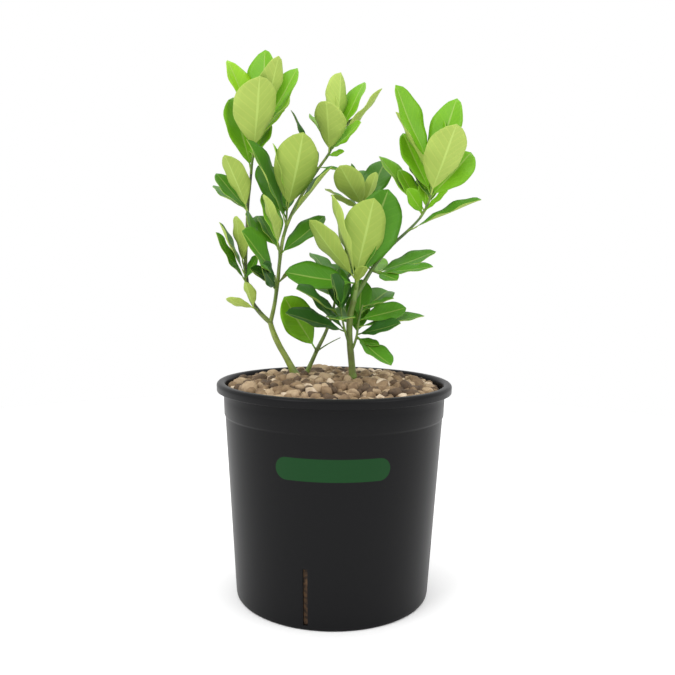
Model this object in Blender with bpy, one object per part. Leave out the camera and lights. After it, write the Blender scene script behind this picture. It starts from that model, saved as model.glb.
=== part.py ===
"""Young lemon tree in a black nursery pot.

Metres, +Z up. The pot stands on its flat underside at z = 0 and its axis is the Z axis.
The front, from which the plant was measured, looks along +Y, with X to the right.

A limb or a leaf points along two angles in degrees. Its lean is how far it tilts from straight
up as seen from the front, to the right where positive. Its fore is how far it comes forward,
towards the viewer.
"""
import math
import random

import bmesh
import bpy
import numpy as np
from mathutils import Matrix, Vector

GAP = 0.0003            # clearance between neighbouring solids

# Pot
RIM_RADIUS = 0.1152
RIM_TOP = 0.2115
LIP_BOTTOM = 0.2030
LIP_THICKNESS = 0.0019
BAND_TOP_RADIUS = 0.1086
BAND_FOOT_RADIUS = 0.1079
BAND_FOOT = 0.1802
STEP_HEIGHT = 0.0016
STEP_DEPTH = 0.0010
FOOT_RADIUS = 0.0956
FOOT_CHAMFER = 0.0022
WALL = 0.0021
FLOOR = 0.0030
ROUND_STEPS = 64

SLIT_COUNT = 4
SLIT_FIRST = -103.7     # bearing of the slit beside the front, degrees from +X
SLIT_WIDTH = 0.0042
SLIT_BOTTOM = 0.0048
SLIT_TOP = 0.0575
HOLE_COUNT = 6
HOLE_RADIUS = 0.0045
HOLE_CIRCLE = 0.0680

# Filling
MEDIUM_TOP = 0.1880
GRAVEL_EDGE = 0.2035
GRAVEL_RISE = 0.0112
STONE_SIZE = 0.0115
STONE_RELIEF = 0.0042
GRAVEL_RINGS = 15
GRAVEL_STEPS = 64
GROUND = 0.2134         # height of the flat spots where the stems are cut
SPOT_RADIUS = 0.0120

# Leaves
LEAF_THICKNESS = 0.016      # at the midrib, of the leaf's length
PETIOLE = 0.10              # of the leaf's length
PETIOLE_WIDTH = 0.0014
LEAF_STATIONS = (0.0, 0.18, 0.40, 0.62, 0.84, 0.985)
TWIG_SIDES = 6
TWIG_RADIUS = 0.0012

# Limbs. Each starts on the ground at (x, y), or at the tip of another limb. Its angles are
# read at even spaces from foot to tip, its radii at its foot and its tip.
LIMBS = {
    "stem_left": dict(at=(-0.0390, 0.0150), length=0.0600, radii=(0.0034, 0.0027), flare=0.0012,
                      lean=(-28, -29, -30, -24, -13), fore=(2, 4, 3, -1, -1)),
    "stem_middle": dict(at=(-0.0297, 0.0220), length=0.0760, radii=(0.0023, 0.0015), flare=0.0008,
                        lean=(25, 23, 27, 19, 12), fore=(8, 5, -1, -9, -16)),
    "stem_right": dict(at=(0.0186, 0.0080), length=0.0790, radii=(0.0034, 0.0030), flare=0.0011,
                       lean=(-6, -6, -5, 4, 18), fore=(3, 3, 7, 8, 8)),
    "bough_left": dict(on="stem_left", length=0.1540, radii=(0.0024, 0.0012),
                       lean=(-50, -39, -12, -4, 2, 3, 2, 8, 4), fore=(7, 6, 4, -2, -4, -1, 2, 4, 5)),
    "bough_inner": dict(on="stem_left", length=0.1780, radii=(0.0021, 0.0013),
                        lean=(15, 9, 5, 7, 20, 28, 32, 36), fore=(7, 8, 2, -10, -14, -8, -5, -4)),
    "bough_centre": dict(on="stem_right", length=0.0910, radii=(0.0024, 0.0014),
                         lean=(12, 6, 6, 4, 0), fore=(-9, -32, -22, -12, -5)),
    "bough_right": dict(on="stem_right", length=0.1080, radii=(0.0024, 0.0012),
                        lean=(30, 30, 39, 49, 40), fore=(-23, -19, -8, -1, 2)),
}

# Shoots. Each is a short twig that sits on a limb, part of the way along it, or on its tip.
# Its seen leaves stand at a share of the twig's length and have a lean, a fore, a length and
# a width in millimetres and a roll about their own midrib. The rest grow by the rule.
SHOOTS = {
    "leaves_top_left": dict(on="bough_left", at=1.0, length=0.049, lean=(4, 13, 5), fore=(8, 7, -3),
                            hidden=5, leaves=(
        (0.05, -15, -9, 76, 40, -20),
        (0.21, 11, -36, 58, 29, -5),
        (0.44, 10, 38, 76, 45, 20),
        (0.72, 30, -4, 78, 33, 40),
        (0.85, -24, -4, 74, 34, -25),
        (0.92, 22, 32, 72, 30, 20),
        (0.97, 4, -10, 76, 34, -10))),
    "leaves_left_upper": dict(on="bough_left", at=0.73, length=0.011, lean=(8,), fore=(44,),
                              hidden=2, leaves=(
        (0.45, -41, -26, 50, 25, -25),
        (0.60, -20, 32, 60, 26, 0),
        (0.95, 163, 49, 42, 17, -45))),
    "leaves_left_lower": dict(on="bough_left", at=0.24, length=0.030, lean=(-20, -3, -12),
                              fore=(40, 0, 2), hidden=3, leaves=(
        (0.20, -27, 36, 62, 19, -65),
        (0.30, 31, 21, 28, 14, 75),
        (0.95, -3, 35, 54, 24, -45))),
    "leaves_left_foot": dict(on="bough_left", at=0.09, length=0.010, lean=(-45,), fore=(51,),
                             hidden=0, leaves=(
        (0.60, -71, 22, 30, 12, 40),
        (0.75, -12, 36, 32, 14, -15))),
    "leaves_inner_low": dict(on="bough_inner", at=0.09, length=0.030, lean=(9, 2, -5),
                             fore=(29, 20, 18), hidden=1, leaves=(
        (0.40, 48, -20, 30, 14, -5),
        (0.24, -50, 43, 36, 13, -40),
        (0.30, -24, 59, 46, 23, -90),
        (0.57, -59, 40, 34, 15, -65),
        (0.92, -32, 28, 74, 34, -75))),
    "leaves_inner_middle": dict(on="bough_inner", at=0.31, length=0.023, lean=(6, -1, -9),
                                fore=(28, 19, 12), hidden=3, leaves=(
        (0.28, 48, -34, 62, 28, 30),
        (0.70, -38, -20, 52, 28, -20),
        (0.89, -13, 41, 60, 24, -40))),
    "leaves_inner_top": dict(on="bough_inner", at=0.47, length=0.032, lean=(17, 6, 3),
                             fore=(21, 17, 10), hidden=3, leaves=(
        (0.24, 39, -24, 74, 37, 25),
        (0.32, -25, 12, 88, 36, -50),
        (0.82, 13, 17, 76, 44, -15),
        (0.98, -12, 23, 62, 13, -70))),
    "leaves_inner_upper": dict(on="bough_inner", at=0.84, length=0.016, lean=(46, 23, 20),
                               fore=(30, 18, 11), hidden=3, leaves=(
        (0.30, -21, -6, 68, 14, 0),
        (0.80, -80, 60, 30, 15, -10),
        (0.94, 100, 45, 34, 17, 15))),
    "leaves_top_middle": dict(on="bough_inner", at=1.0, length=0.030, lean=(35, 20, 0),
                              fore=(-2, -1, -7), hidden=4, leaves=(
        (0.08, 85, 43, 22, 8, 60),
        (0.17, -4, 41, 56, 35, -25),
        (0.33, 55, 44, 48, 19, 65),
        (0.34, 39, -7, 80, 20, -20),
        (0.36, -4, -13, 64, 26, 105),
        (0.49, 25, -15, 76, 34, 5),
        (0.95, 4, -11, 62, 30, -115))),
    "leaves_centre_top": dict(on="bough_centre", at=1.0, length=0.011, lean=(8,), fore=(1,),
                              hidden=4, leaves=(
        (0.40, -67, 3, 36, 13, 15),
        (0.57, -15, -15, 50, 15, 15),
        (0.70, -36, 18, 62, 28, 25),
        (0.80, 21, -45, 34, 17, -25),
        (0.90, 19, 33, 38, 15, 5))),
    "leaves_centre": dict(on="bough_centre", at=0.09, length=0.019, lean=(2, -6, 0),
                          fore=(31, 38, 36), hidden=1, leaves=(
        (0.30, -82, -2, 70, 32, -55),
        (0.32, 25, 50, 28, 13, 0),
        (0.45, 19, -10, 98, 48, 80),
        (0.68, -39, 8, 72, 30, 30),
        (0.70, 12, 6, 79, 48, -35),
        (0.78, -17, 17, 84, 25, -25),
        (0.80, -4, -44, 50, 25, 30))),
    "leaves_right_middle": dict(on="bough_right", at=0.24, length=0.009, lean=(115,), fore=(35,),
                                hidden=3, leaves=(
        (0.60, 70, -8, 64, 26, 25),
        (0.75, 83, 31, 60, 18, 30),
        (0.92, 111, 52, 30, 18, 30))),
    "leaves_centre_low": dict(on="stem_right", at=0.38, length=0.044, lean=(-20, -15, -6),
                              fore=(24, 10, 4), hidden=3, leaves=(
        (0.16, -72, 25, 66, 28, -35),
        (0.20, -44, -17, 54, 16, -15),
        (0.58, -54, 22, 82, 29, -40),
        (0.69, -111, 87, 46, 28, 0),
        (0.92, -16, 25, 52, 23, -100),
        (0.95, -2, -26, 44, 20, 40),
        (0.98, -18, 33, 44, 18, -85))),
    "leaves_right_low": dict(on="stem_right", at=0.32, length=0.050, lean=(26, 5, 19),
                             fore=(23, -5, -16), hidden=4, leaves=(
        (0.16, 103, 36, 28, 11, 30),
        (0.22, 127, 47, 58, 23, 10),
        (0.26, 72, 31, 50, 20, 40),
        (0.46, 81, -8, 68, 24, 15),
        (0.62, 76, -12, 50, 23, 50),
        (0.97, 74, 25, 34, 10, 25))),
    "leaves_middle_low": dict(on="stem_middle", at=0.34, length=0.009, lean=(-5,), fore=(54,),
                              hidden=0, leaves=(
        (0.75, -30, 19, 64, 36, -90),)),
    "leaves_middle_top": dict(on="stem_middle", at=1.0, length=0.029, lean=(11, 5, 3),
                              fore=(-26, -15, -16), hidden=6, leaves=()),
    "leaves_top_right": dict(on="bough_right", at=1.0, length=0.056, lean=(36, 8, -15),
                             fore=(5, 1, -6), hidden=5, leaves=(
        (0.06, -36, -15, 76, 30, -15),
        (0.08, -40, 34, 34, 17, -100),
        (0.12, 47, 37, 34, 10, 60),
        (0.14, -30, -18, 52, 23, -20),
        (0.19, -2, -23, 32, 16, 15),
        (0.39, 42, -15, 66, 37, 50),
        (0.44, 16, 34, 76, 42, -5),
        (0.46, -24, -15, 70, 30, -35),
        (0.67, 16, -4, 86, 35, 40),
        (0.70, -28, -8, 78, 20, 30),
        (0.72, 10, -6, 60, 27, -10),
        (0.98, -27, 11, 83, 32, -70))),
    "leaf_right": dict(on="bough_right", at=0.81, length=0.008, lean=(64,), fore=(54,),
                       hidden=0, leaves=(
        (0.75, 67, 25, 74, 26, 25),)),
}

HIDDEN_SEED = 11
HIDDEN_LENGTH = (48, 70)        # millimetres
SHOOT_CLEAR = 0.0032            # least distance between the blades of two shoots
LIMB_CLEAR = 0.0016             # least distance from a blade to a limb's bark
NUDGES = (0, 5, -5, 10, -10, 16, -16, 22, -22, 29, -29, 37, -37)    # degrees tried to find room

COLOURS = {
    "pot": (0.012, 0.012, 0.013, 0.38),
    "growing_medium": (0.060, 0.035, 0.020, 0.95),
    "gravel": (0.300, 0.210, 0.140, 0.85),
    "stem": (0.180, 0.230, 0.045, 0.55),
    "bough": (0.150, 0.200, 0.045, 0.55),
    "leaves": (0.170, 0.370, 0.040, 0.45),
    "leaf": (0.130, 0.250, 0.050, 0.45),
}


def clear_scene():
    """Remove every object that the opened file holds."""
    for item in list(bpy.data.objects):
        bpy.data.objects.remove(item, do_unlink=True)


def material_for(name):
    """Make the Principled material whose colour and roughness belong to a node."""
    key = name if name in COLOURS else name.split("_")[0]
    red, green, blue, rough = COLOURS[key]
    finish = bpy.data.materials.new(name)
    finish.use_nodes = True
    shader = finish.node_tree.nodes["Principled BSDF"]
    shader.inputs["Base Color"].default_value = (red, green, blue, 1.0)
    shader.inputs["Roughness"].default_value = rough
    shader.inputs["Metallic"].default_value = 0.0
    return finish


def add_object(name, mesh, smooth=True):
    """Link a mesh to the scene as the named node, with its own material."""
    item = bpy.data.objects.new(name, mesh)
    bpy.context.scene.collection.objects.link(item)
    mesh.materials.clear()
    mesh.materials.append(material_for(name))
    mesh.polygons.foreach_set("use_smooth", [smooth] * len(mesh.polygons))
    return item


def mesh_from(name, corners, faces):
    """Build a mesh from corner points and faces, with its faces turned outwards."""
    mesh = bpy.data.meshes.new(name)
    mesh.from_pydata([tuple(c) for c in corners], [], faces)
    shape = bmesh.new()
    shape.from_mesh(mesh)
    bmesh.ops.recalc_face_normals(shape, faces=shape.faces)
    shape.to_mesh(mesh)
    shape.free()
    return mesh


def turned_mesh(name, profile, steps=ROUND_STEPS):
    """Turn an open profile of (radius, height) pairs, from axis to axis, into a closed solid."""
    shape = bmesh.new()
    corners = [shape.verts.new((radius, 0.0, height)) for radius, height in profile]
    edges = [shape.edges.new(pair) for pair in zip(corners, corners[1:])]
    bmesh.ops.spin(shape, geom=corners + edges, cent=(0, 0, 0), axis=(0, 0, 1),
                   angle=math.tau, steps=steps, use_duplicate=False)
    bmesh.ops.remove_doubles(shape, verts=shape.verts, dist=0.00001)
    bmesh.ops.recalc_face_normals(shape, faces=shape.faces)
    mesh = bpy.data.meshes.new(name)
    shape.to_mesh(mesh)
    shape.free()
    return mesh


def apply_modifiers(item):
    """Replace an object's mesh by the one that its modifiers give, and drop them."""
    graph = bpy.context.evaluated_depsgraph_get()
    mesh = bpy.data.meshes.new_from_object(item.evaluated_get(graph))
    item.modifiers.clear()
    item.data = mesh


def boolean_with(item, others, operation, solver="EXACT"):
    """Cut or join an object with a list of others in one step, then remove the others."""
    group = bpy.data.collections.new("operands")
    bpy.context.scene.collection.children.link(group)
    for other in others:
        bpy.context.scene.collection.objects.unlink(other)
        group.objects.link(other)
    step = item.modifiers.new("Boolean", "BOOLEAN")
    step.operation = operation
    step.operand_type = "COLLECTION"
    step.collection = group
    step.solver = solver
    apply_modifiers(item)
    for other in others:
        bpy.data.objects.remove(other, do_unlink=True)
    bpy.data.collections.remove(group)


def plain_object(name, mesh):
    """Link a helper mesh that a Boolean step uses up."""
    item = bpy.data.objects.new(name, mesh)
    bpy.context.scene.collection.objects.link(item)
    return item


def inner_radius(height):
    """Radius of the pot's inner wall at a height."""
    step_top = BAND_FOOT
    step_foot = BAND_FOOT - STEP_HEIGHT
    if height >= step_top:
        share = (height - step_top) / (RIM_TOP - step_top)
        return BAND_FOOT_RADIUS - WALL + share * (BAND_TOP_RADIUS - BAND_FOOT_RADIUS)
    upper = BAND_FOOT_RADIUS - STEP_DEPTH - WALL
    if height >= step_foot:
        share = (height - step_foot) / STEP_HEIGHT
        return upper + share * STEP_DEPTH
    share = (height - FLOOR) / (step_foot - FLOOR)
    return FOOT_RADIUS - WALL + share * (upper - FOOT_RADIUS + WALL)


def make_pot():
    """The nursery pot: tapered wall, band under a lip that turns down, slits and floor holes."""
    crest = BAND_TOP_RADIUS + 0.0030
    skirt = RIM_RADIUS - LIP_THICKNESS
    flange = RIM_TOP - 0.0026
    profile = (
        (0.0, 0.0),
        (FOOT_RADIUS - FOOT_CHAMFER, 0.0),
        (FOOT_RADIUS, FOOT_CHAMFER),
        (BAND_FOOT_RADIUS - STEP_DEPTH, BAND_FOOT - STEP_HEIGHT),
        (BAND_FOOT_RADIUS, BAND_FOOT),
        (BAND_TOP_RADIUS, flange),
        (skirt - 0.0004, flange),
        (skirt, LIP_BOTTOM),
        (RIM_RADIUS - 0.0002, LIP_BOTTOM),
        (RIM_RADIUS, RIM_TOP - 0.0036),
        (RIM_RADIUS - 0.0012, RIM_TOP - 0.0012),
        (crest, RIM_TOP),
        (crest - 0.0028, RIM_TOP - 0.0003),
        (inner_radius(RIM_TOP) - 0.0002, RIM_TOP - 0.0022),
        (inner_radius(BAND_FOOT), BAND_FOOT),
        (inner_radius(BAND_FOOT - STEP_HEIGHT), BAND_FOOT - STEP_HEIGHT),
        (inner_radius(FLOOR), FLOOR),
        (0.0, FLOOR),
    )
    pot = add_object("pot", turned_mesh("pot", profile))
    cutters = []
    for index in range(SLIT_COUNT):
        bearing = math.radians(SLIT_FIRST + 360.0 / SLIT_COUNT * index)
        shape = bmesh.new()
        bmesh.ops.create_cube(shape, size=1.0)
        bmesh.ops.scale(shape, vec=(0.016, SLIT_WIDTH, SLIT_TOP - SLIT_BOTTOM), verts=shape.verts)
        reach = (inner_radius(SLIT_BOTTOM) + inner_radius(SLIT_TOP)) / 2
        place = Matrix.Rotation(bearing, 4, "Z") @ Matrix.Translation(
            (reach, 0.0, (SLIT_TOP + SLIT_BOTTOM) / 2))
        bmesh.ops.transform(shape, matrix=place, verts=shape.verts)
        mesh = bpy.data.meshes.new("slit")
        shape.to_mesh(mesh)
        shape.free()
        cutters.append(plain_object("slit", mesh))
    for index in range(HOLE_COUNT):
        bearing = math.tau * (index + 0.5) / HOLE_COUNT
        shape = bmesh.new()
        bmesh.ops.create_cone(shape, cap_ends=True, segments=12, radius1=HOLE_RADIUS,
                              radius2=HOLE_RADIUS, depth=0.02)
        centre = Vector((math.cos(bearing), math.sin(bearing), 0.0)) * HOLE_CIRCLE
        bmesh.ops.translate(shape, vec=centre, verts=shape.verts)
        mesh = bpy.data.meshes.new("hole")
        shape.to_mesh(mesh)
        shape.free()
        cutters.append(plain_object("hole", mesh))
    boolean_with(pot, cutters, "DIFFERENCE")
    return pot


def make_medium():
    """The root ball that fills the pot up to the gravel and shows in its slits."""
    bottom = FLOOR + GAP
    profile = (
        (0.0, bottom),
        (inner_radius(bottom) - GAP, bottom),
        (inner_radius(BAND_FOOT - STEP_HEIGHT) - GAP, BAND_FOOT - STEP_HEIGHT),
        (inner_radius(BAND_FOOT) - GAP, BAND_FOOT),
        (inner_radius(MEDIUM_TOP) - GAP, MEDIUM_TOP),
        (0.0, MEDIUM_TOP),
    )
    return add_object("growing_medium", turned_mesh("growing_medium", profile, 48))


def gravel_surface(points):
    """Height of the gravel under each (x, y): a low mound with a coarse relief of stones."""
    edge = inner_radius(GRAVEL_EDGE) - GAP
    rng = random.Random(5)
    count = int(edge / STONE_SIZE) + 1
    stones = []
    for row in range(-count, count + 1):
        for column in range(-count, count + 1):
            shift = 0.5 * (row % 2)
            x = (column + shift + rng.uniform(-0.3, 0.3)) * STONE_SIZE
            y = (row * 0.87 + rng.uniform(-0.3, 0.3)) * STONE_SIZE
            stones.append((x, y, rng.uniform(0.35, 1.0)))
    stones = np.array(stones)
    across = points[:, None, :] - stones[None, :, :2]
    near = np.sqrt((across ** 2).sum(axis=2)) / (STONE_SIZE * 0.72)
    domes = stones[None, :, 2] * (1.0 - near ** 2)
    relief = np.clip(domes.max(axis=1), 0.0, 1.0) * STONE_RELIEF
    radius = np.hypot(points[:, 0], points[:, 1])
    height = GRAVEL_EDGE + GRAVEL_RISE * (1.0 - (radius / edge) ** 4) + relief - 0.4 * STONE_RELIEF
    for limb in LIMBS.values():
        if "at" in limb:
            away = np.hypot(points[:, 0] - limb["at"][0], points[:, 1] - limb["at"][1])
            share = np.clip((away - SPOT_RADIUS) / (0.5 * SPOT_RADIUS), 0.0, 1.0)
            height = (GROUND - GAP) * (1.0 - share) + height * share
    return height


def make_gravel():
    """The gravel dressing: a disc with a relief of stones and a flat spot under each stem."""
    bottom = MEDIUM_TOP + GAP
    corners = [(0.0, 0.0)]
    for ring in range(1, GRAVEL_RINGS + 1):
        for step in range(GRAVEL_STEPS):
            angle = math.tau * (step + 0.5 * (ring % 2)) / GRAVEL_STEPS
            radius = (inner_radius(GRAVEL_EDGE) - GAP) * ring / GRAVEL_RINGS
            corners.append((radius * math.cos(angle), radius * math.sin(angle)))
    heights = gravel_surface(np.array(corners))
    points = [(x, y, h) for (x, y), h in zip(corners, heights)]
    last = len(points) - GRAVEL_STEPS
    shrink = (inner_radius(bottom) - GAP) / (inner_radius(GRAVEL_EDGE) - GAP)
    points += [(x * shrink, y * shrink, bottom) for x, y, h in points[last:]]
    faces = []
    for step in range(GRAVEL_STEPS):
        after = (step + 1) % GRAVEL_STEPS
        faces.append((0, 1 + step, 1 + after))
        for ring in range(1, GRAVEL_RINGS + 1):
            here = 1 + (ring - 1) * GRAVEL_STEPS
            there = here + GRAVEL_STEPS
            if ring == GRAVEL_RINGS:
                faces.append((here + step, there + step, there + after, here + after))
            elif ring % 2:
                faces.append((here + step, there + after, here + after))
                faces.append((here + step, there + step, there + after))
            else:
                faces.append((here + step, there + step, here + after))
                faces.append((there + step, there + after, here + after))
    faces.append(tuple(len(points) - 1 - step for step in range(GRAVEL_STEPS)))
    return add_object("gravel", mesh_from("gravel", points, faces), smooth=False)


def unit(vector):
    """A vector at length one."""
    return vector / math.sqrt(float(vector @ vector))


def pointing(lean, fore):
    """The unit vector along a lean and a fore, both in degrees."""
    a = math.radians(lean)
    b = math.radians(fore)
    return np.array((math.sin(a) * math.cos(b), -math.sin(b), math.cos(a) * math.cos(b)))


def between(values, share):
    """Read a row of evenly spaced values at a share of its length."""
    if len(values) == 1:
        return values[0]
    place = min(max(share, 0.0), 1.0) * (len(values) - 1)
    index = min(int(place), len(values) - 2)
    return values[index] + (values[index + 1] - values[index]) * (place - index)


def walk(start, length, lean, fore, spacing):
    """Walk along a limb in short steps, each in the direction that its angles give there."""
    count = max(2, round(length / spacing))
    path = [np.array(start, dtype=float)]
    for step in range(count):
        share = (step + 0.5) / count
        path.append(path[-1] + pointing(between(lean, share), between(fore, share)) * length / count)
    return np.array(path)


def heading_at(path, index):
    """Direction of a path at one of its points."""
    return unit(path[min(index + 1, len(path) - 1)] - path[max(index - 1, 0)])


def ring_at(centre, heading, radius, sides):
    """Points of a circle square to a heading."""
    side = unit(np.cross((0.0, 1.0, 0.0), heading))
    front = np.cross(heading, side)
    angles = np.arange(sides) * math.tau / sides
    return centre + radius * (np.cos(angles)[:, None] * side + np.sin(angles)[:, None] * front)


def limb_radii(limb, path):
    """Radius of a limb at every point of its path, wider at a flared foot."""
    foot, tip = limb["radii"]
    share = np.linspace(0.0, 1.0, len(path))
    flare = limb.get("flare", 0.0) * np.exp(-share * limb["length"] / 0.005)
    return foot + (tip - foot) * share + flare


def bark_distance(points, path, radii):
    """Least distance from points to a limb's bark. It is negative inside the limb."""
    ahead = (points - path[-1]) @ heading_at(path, len(path) - 1)
    away = np.sqrt(((points[:, None] - path[None]) ** 2).sum(axis=2)) - radii
    return float(np.maximum(away.min(axis=1), ahead).min())


def first_clear(path, radius, bearers):
    """First point of a path where a disc of that radius stands clear of the limbs."""
    for index in range(len(path) - 2):
        disc = ring_at(path[index], heading_at(path, index), radius, 12)
        if min(bark_distance(disc, *bearer) for bearer in bearers) > 1.5 * GAP:
            return index
    return len(path) - 2


def grow_limbs():
    """Work out every limb's path. A bough starts just clear of the limb that bears it."""
    limbs = {}
    for name, limb in LIMBS.items():
        if "at" in limb:
            path = walk((*limb["at"], GROUND), limb["length"], limb["lean"], limb["fore"], 0.002)
            limbs[name] = (path, limb_radii(limb, path))
            continue
        parent = limbs[limb["on"]][0]
        path = walk(parent[-1], limb["length"], limb["lean"], limb["fore"], 0.0005)
        near = [limbs[limb["on"]]]
        near += [limbs[key] for key in limbs if LIMBS[key].get("on") == limb["on"]]
        path = path[first_clear(path, limb["radii"][0], near):]
        path = np.concatenate((path[:-1:4], path[-1:]))
        limbs[name] = (path, limb_radii(limb, path))
    return limbs


def grow_twigs(limbs):
    """Work out every shoot's twig, from just clear of its limb."""
    twigs = {}
    for name, shoot in SHOOTS.items():
        parent = limbs[shoot["on"]][0]
        start = parent[round(shoot["at"] * (len(parent) - 1))]
        path = walk(start, shoot["length"], shoot["lean"], shoot["fore"], 0.0005)
        twigs[name] = path[first_clear(path, TWIG_RADIUS, limbs.values()):]
    return twigs


def upper_side(heading, roll):
    """The way that a leaf's upper side faces: as far up as it can, then rolled."""
    level = unit(np.array((0.0, 0.0, 1.0)) - heading * heading[2])
    angle = math.radians(roll)
    return level * math.cos(angle) + np.cross(heading, level) * math.sin(angle)


def half_width(share):
    """Half of a blade's width at a share of its length, in units of its widest half."""
    return np.abs(np.sin(math.pi * np.clip(share, 0.0, 1.0) ** 1.24)) ** 0.62


def leaf_samples(leaf):
    """Points spread over a leaf, which stand for it in distance tests."""
    share = np.linspace(0.08, 1.0, 24)
    centre = leaf["root"] + leaf["heading"] * (leaf["length"] * share)[:, None]
    centre += leaf["normal"] * (leaf["arch"] * leaf["length"] * 4.0 * share * (1.0 - share))[:, None]
    reach = leaf["width"] / 2 * half_width((share - PETIOLE) / (1.0 - PETIOLE))
    across = np.cross(leaf["heading"], leaf["normal"])
    rows = [centre + across * (side * reach)[:, None] for side in np.linspace(-1.0, 1.0, 11)]
    return np.concatenate(rows)


def nearest(points, others):
    """Least distance between two sets of points."""
    apart = points[:, None, :] - others[None, :, :]
    return math.sqrt(float((apart ** 2).sum(axis=2).min()))


def has_room(points, name, placed, twigs, limbs):
    """Tell whether a leaf's points keep clear of the other shoots and of every limb."""
    low = points.min(axis=0) - SHOOT_CLEAR
    high = points.max(axis=0) + SHOOT_CLEAR
    for other, cloud in placed:
        if other == name or (cloud.min(axis=0) > high).any() or (cloud.max(axis=0) < low).any():
            continue
        if nearest(points, cloud) < SHOOT_CLEAR:
            return False
    for other, twig in twigs.items():
        if other != name and nearest(points, twig[::3]) < SHOOT_CLEAR:
            return False
    return min(bark_distance(points, *limb) for limb in limbs.values()) > LIMB_CLEAR


def settle(name, twig, row, rng, placed, twigs, limbs):
    """Place one leaf, turned forwards or back by the least angle that gives it room."""
    share, lean, fore, length, width, roll = row
    arch = rng.uniform(-0.01, 0.04)
    fold = rng.uniform(8, 20)
    for nudge in NUDGES:
        heading = pointing(lean, fore + nudge)
        leaf = dict(root=twig[round(share * (len(twig) - 1))], heading=heading,
                    normal=upper_side(heading, roll), length=length / 1000, width=width / 1000,
                    arch=arch, fold=fold, share=share)
        points = leaf_samples(leaf)
        if has_room(points, name, placed, twigs, limbs):
            placed.append((name, points))
            return leaf
    return None


def hidden_rows(count, rng):
    """Rows for the leaves behind a shoot, spread round its far side from low to high."""
    rows = []
    for index in range(count):
        share = 0.15 + 0.75 * (index + 0.5) / count
        swing = 36 * math.sin(math.radians(137.5) * index * 2) + rng.uniform(-12, 12)
        rise = rng.uniform(14, 56)
        flat = math.cos(math.radians(rise))
        across = flat * math.sin(math.radians(swing))
        lean = math.degrees(math.atan2(across, math.sin(math.radians(rise))))
        fore = -math.degrees(math.asin(flat * math.cos(math.radians(swing))))
        length = rng.uniform(*HIDDEN_LENGTH)
        rows.append((share, lean, fore, length, length * rng.uniform(0.42, 0.52),
                     rng.uniform(-25, 25)))
    return rows


def grow_leaves(twigs, limbs):
    """All leaves by shoot: first those that show, then the hidden ones. Crowded ones are left out."""
    rng = random.Random(HIDDEN_SEED)
    placed = []
    leaves = {name: [] for name in SHOOTS}
    for name, shoot in SHOOTS.items():
        for row in shoot["leaves"]:
            leaves[name].append(settle(name, twigs[name], row, rng, placed, twigs, limbs))
    for name, shoot in SHOOTS.items():
        for row in hidden_rows(shoot["hidden"], rng):
            leaves[name].append(settle(name, twigs[name], row, rng, placed, twigs, limbs))
    return {name: [leaf for leaf in group if leaf] for name, group in leaves.items()}


def tube(name, path, radii, sides, spacing, level_foot=False):
    """A tapering round limb: rings of points across the path, joined, with flat ends."""
    stations = list(range(0, len(path) - 1, spacing))
    if len(path) - 1 - stations[-1] < spacing / 2 and len(stations) > 1:
        stations.pop()
    stations.append(len(path) - 1)
    rings = []
    for index in stations:
        upright = level_foot and index == 0
        heading = np.array((0.0, 0.0, 1.0)) if upright else heading_at(path, index)
        rings.append(ring_at(path[index], heading, radii[index], sides))
    faces = []
    for low in range(0, (len(stations) - 1) * sides, sides):
        for corner in range(sides):
            after = (corner + 1) % sides
            faces.append((low + corner, low + after, low + sides + after, low + sides + corner))
    faces.append(tuple(range(sides)))
    faces.append(tuple(len(stations) * sides - 1 - corner for corner in range(sides)))
    return mesh_from(name, np.concatenate(rings), faces)


def leaf_mesh(leaf):
    """A leaf: a slim stalk, then a folded blade that is thickest along its midrib."""
    heading, normal, length = leaf["heading"], leaf["normal"], leaf["length"]
    across = np.cross(heading, normal)
    rise = math.tan(math.radians(leaf["fold"]))
    stations = [(0.0, PETIOLE_WIDTH / 2, PETIOLE_WIDTH, 0.0)]
    for share in LEAF_STATIONS:
        half = max(leaf["width"] / 2 * float(half_width(share)), PETIOLE_WIDTH / 2)
        thick = PETIOLE_WIDTH if share == 0.0 else LEAF_THICKNESS * length
        lift = 0.0 if share == 0.0 else half * rise
        stations.append((PETIOLE + (1.0 - PETIOLE) * share, half, thick, lift))
    corners = []
    for share, half, thick, lift in stations:
        middle = leaf["root"] + heading * (length * share)
        middle = middle + normal * (leaf["arch"] * length * 4.0 * share * (1.0 - share))
        corners.append(middle - across * half + normal * lift)
        corners.append(middle + normal * thick / 2)
        corners.append(middle + across * half + normal * lift)
        corners.append(middle - normal * thick / 2)
    faces = []
    for low in range(0, (len(stations) - 1) * 4, 4):
        for corner in range(4):
            after = (corner + 1) % 4
            faces.append((low + corner, low + 4 + corner, low + 4 + after, low + after))
    end = (len(stations) - 1) * 4
    faces += [(0, 1, 3), (1, 2, 3), (end, end + 3, end + 1), (end + 1, end + 3, end + 2)]
    return mesh_from("blade", corners, faces)


def largest_piece(item):
    """Keep the largest closed piece of a mesh and drop scraps and sealed hollows."""
    shape = bmesh.new()
    shape.from_mesh(item.data)
    bmesh.ops.remove_doubles(shape, verts=shape.verts, dist=0.000002)
    shape.verts.ensure_lookup_table()
    left = set(shape.verts)
    pieces = []
    while left:
        seed = left.pop()
        piece = {seed}
        queue = [seed]
        while queue:
            for edge in queue.pop().link_edges:
                for other in edge.verts:
                    if other in left:
                        left.remove(other)
                        piece.add(other)
                        queue.append(other)
        pieces.append(piece)
    keep = max(pieces, key=len)
    bmesh.ops.delete(shape, geom=[v for v in shape.verts if v not in keep], context="VERTS")
    shape.to_mesh(item.data)
    shape.free()


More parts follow.
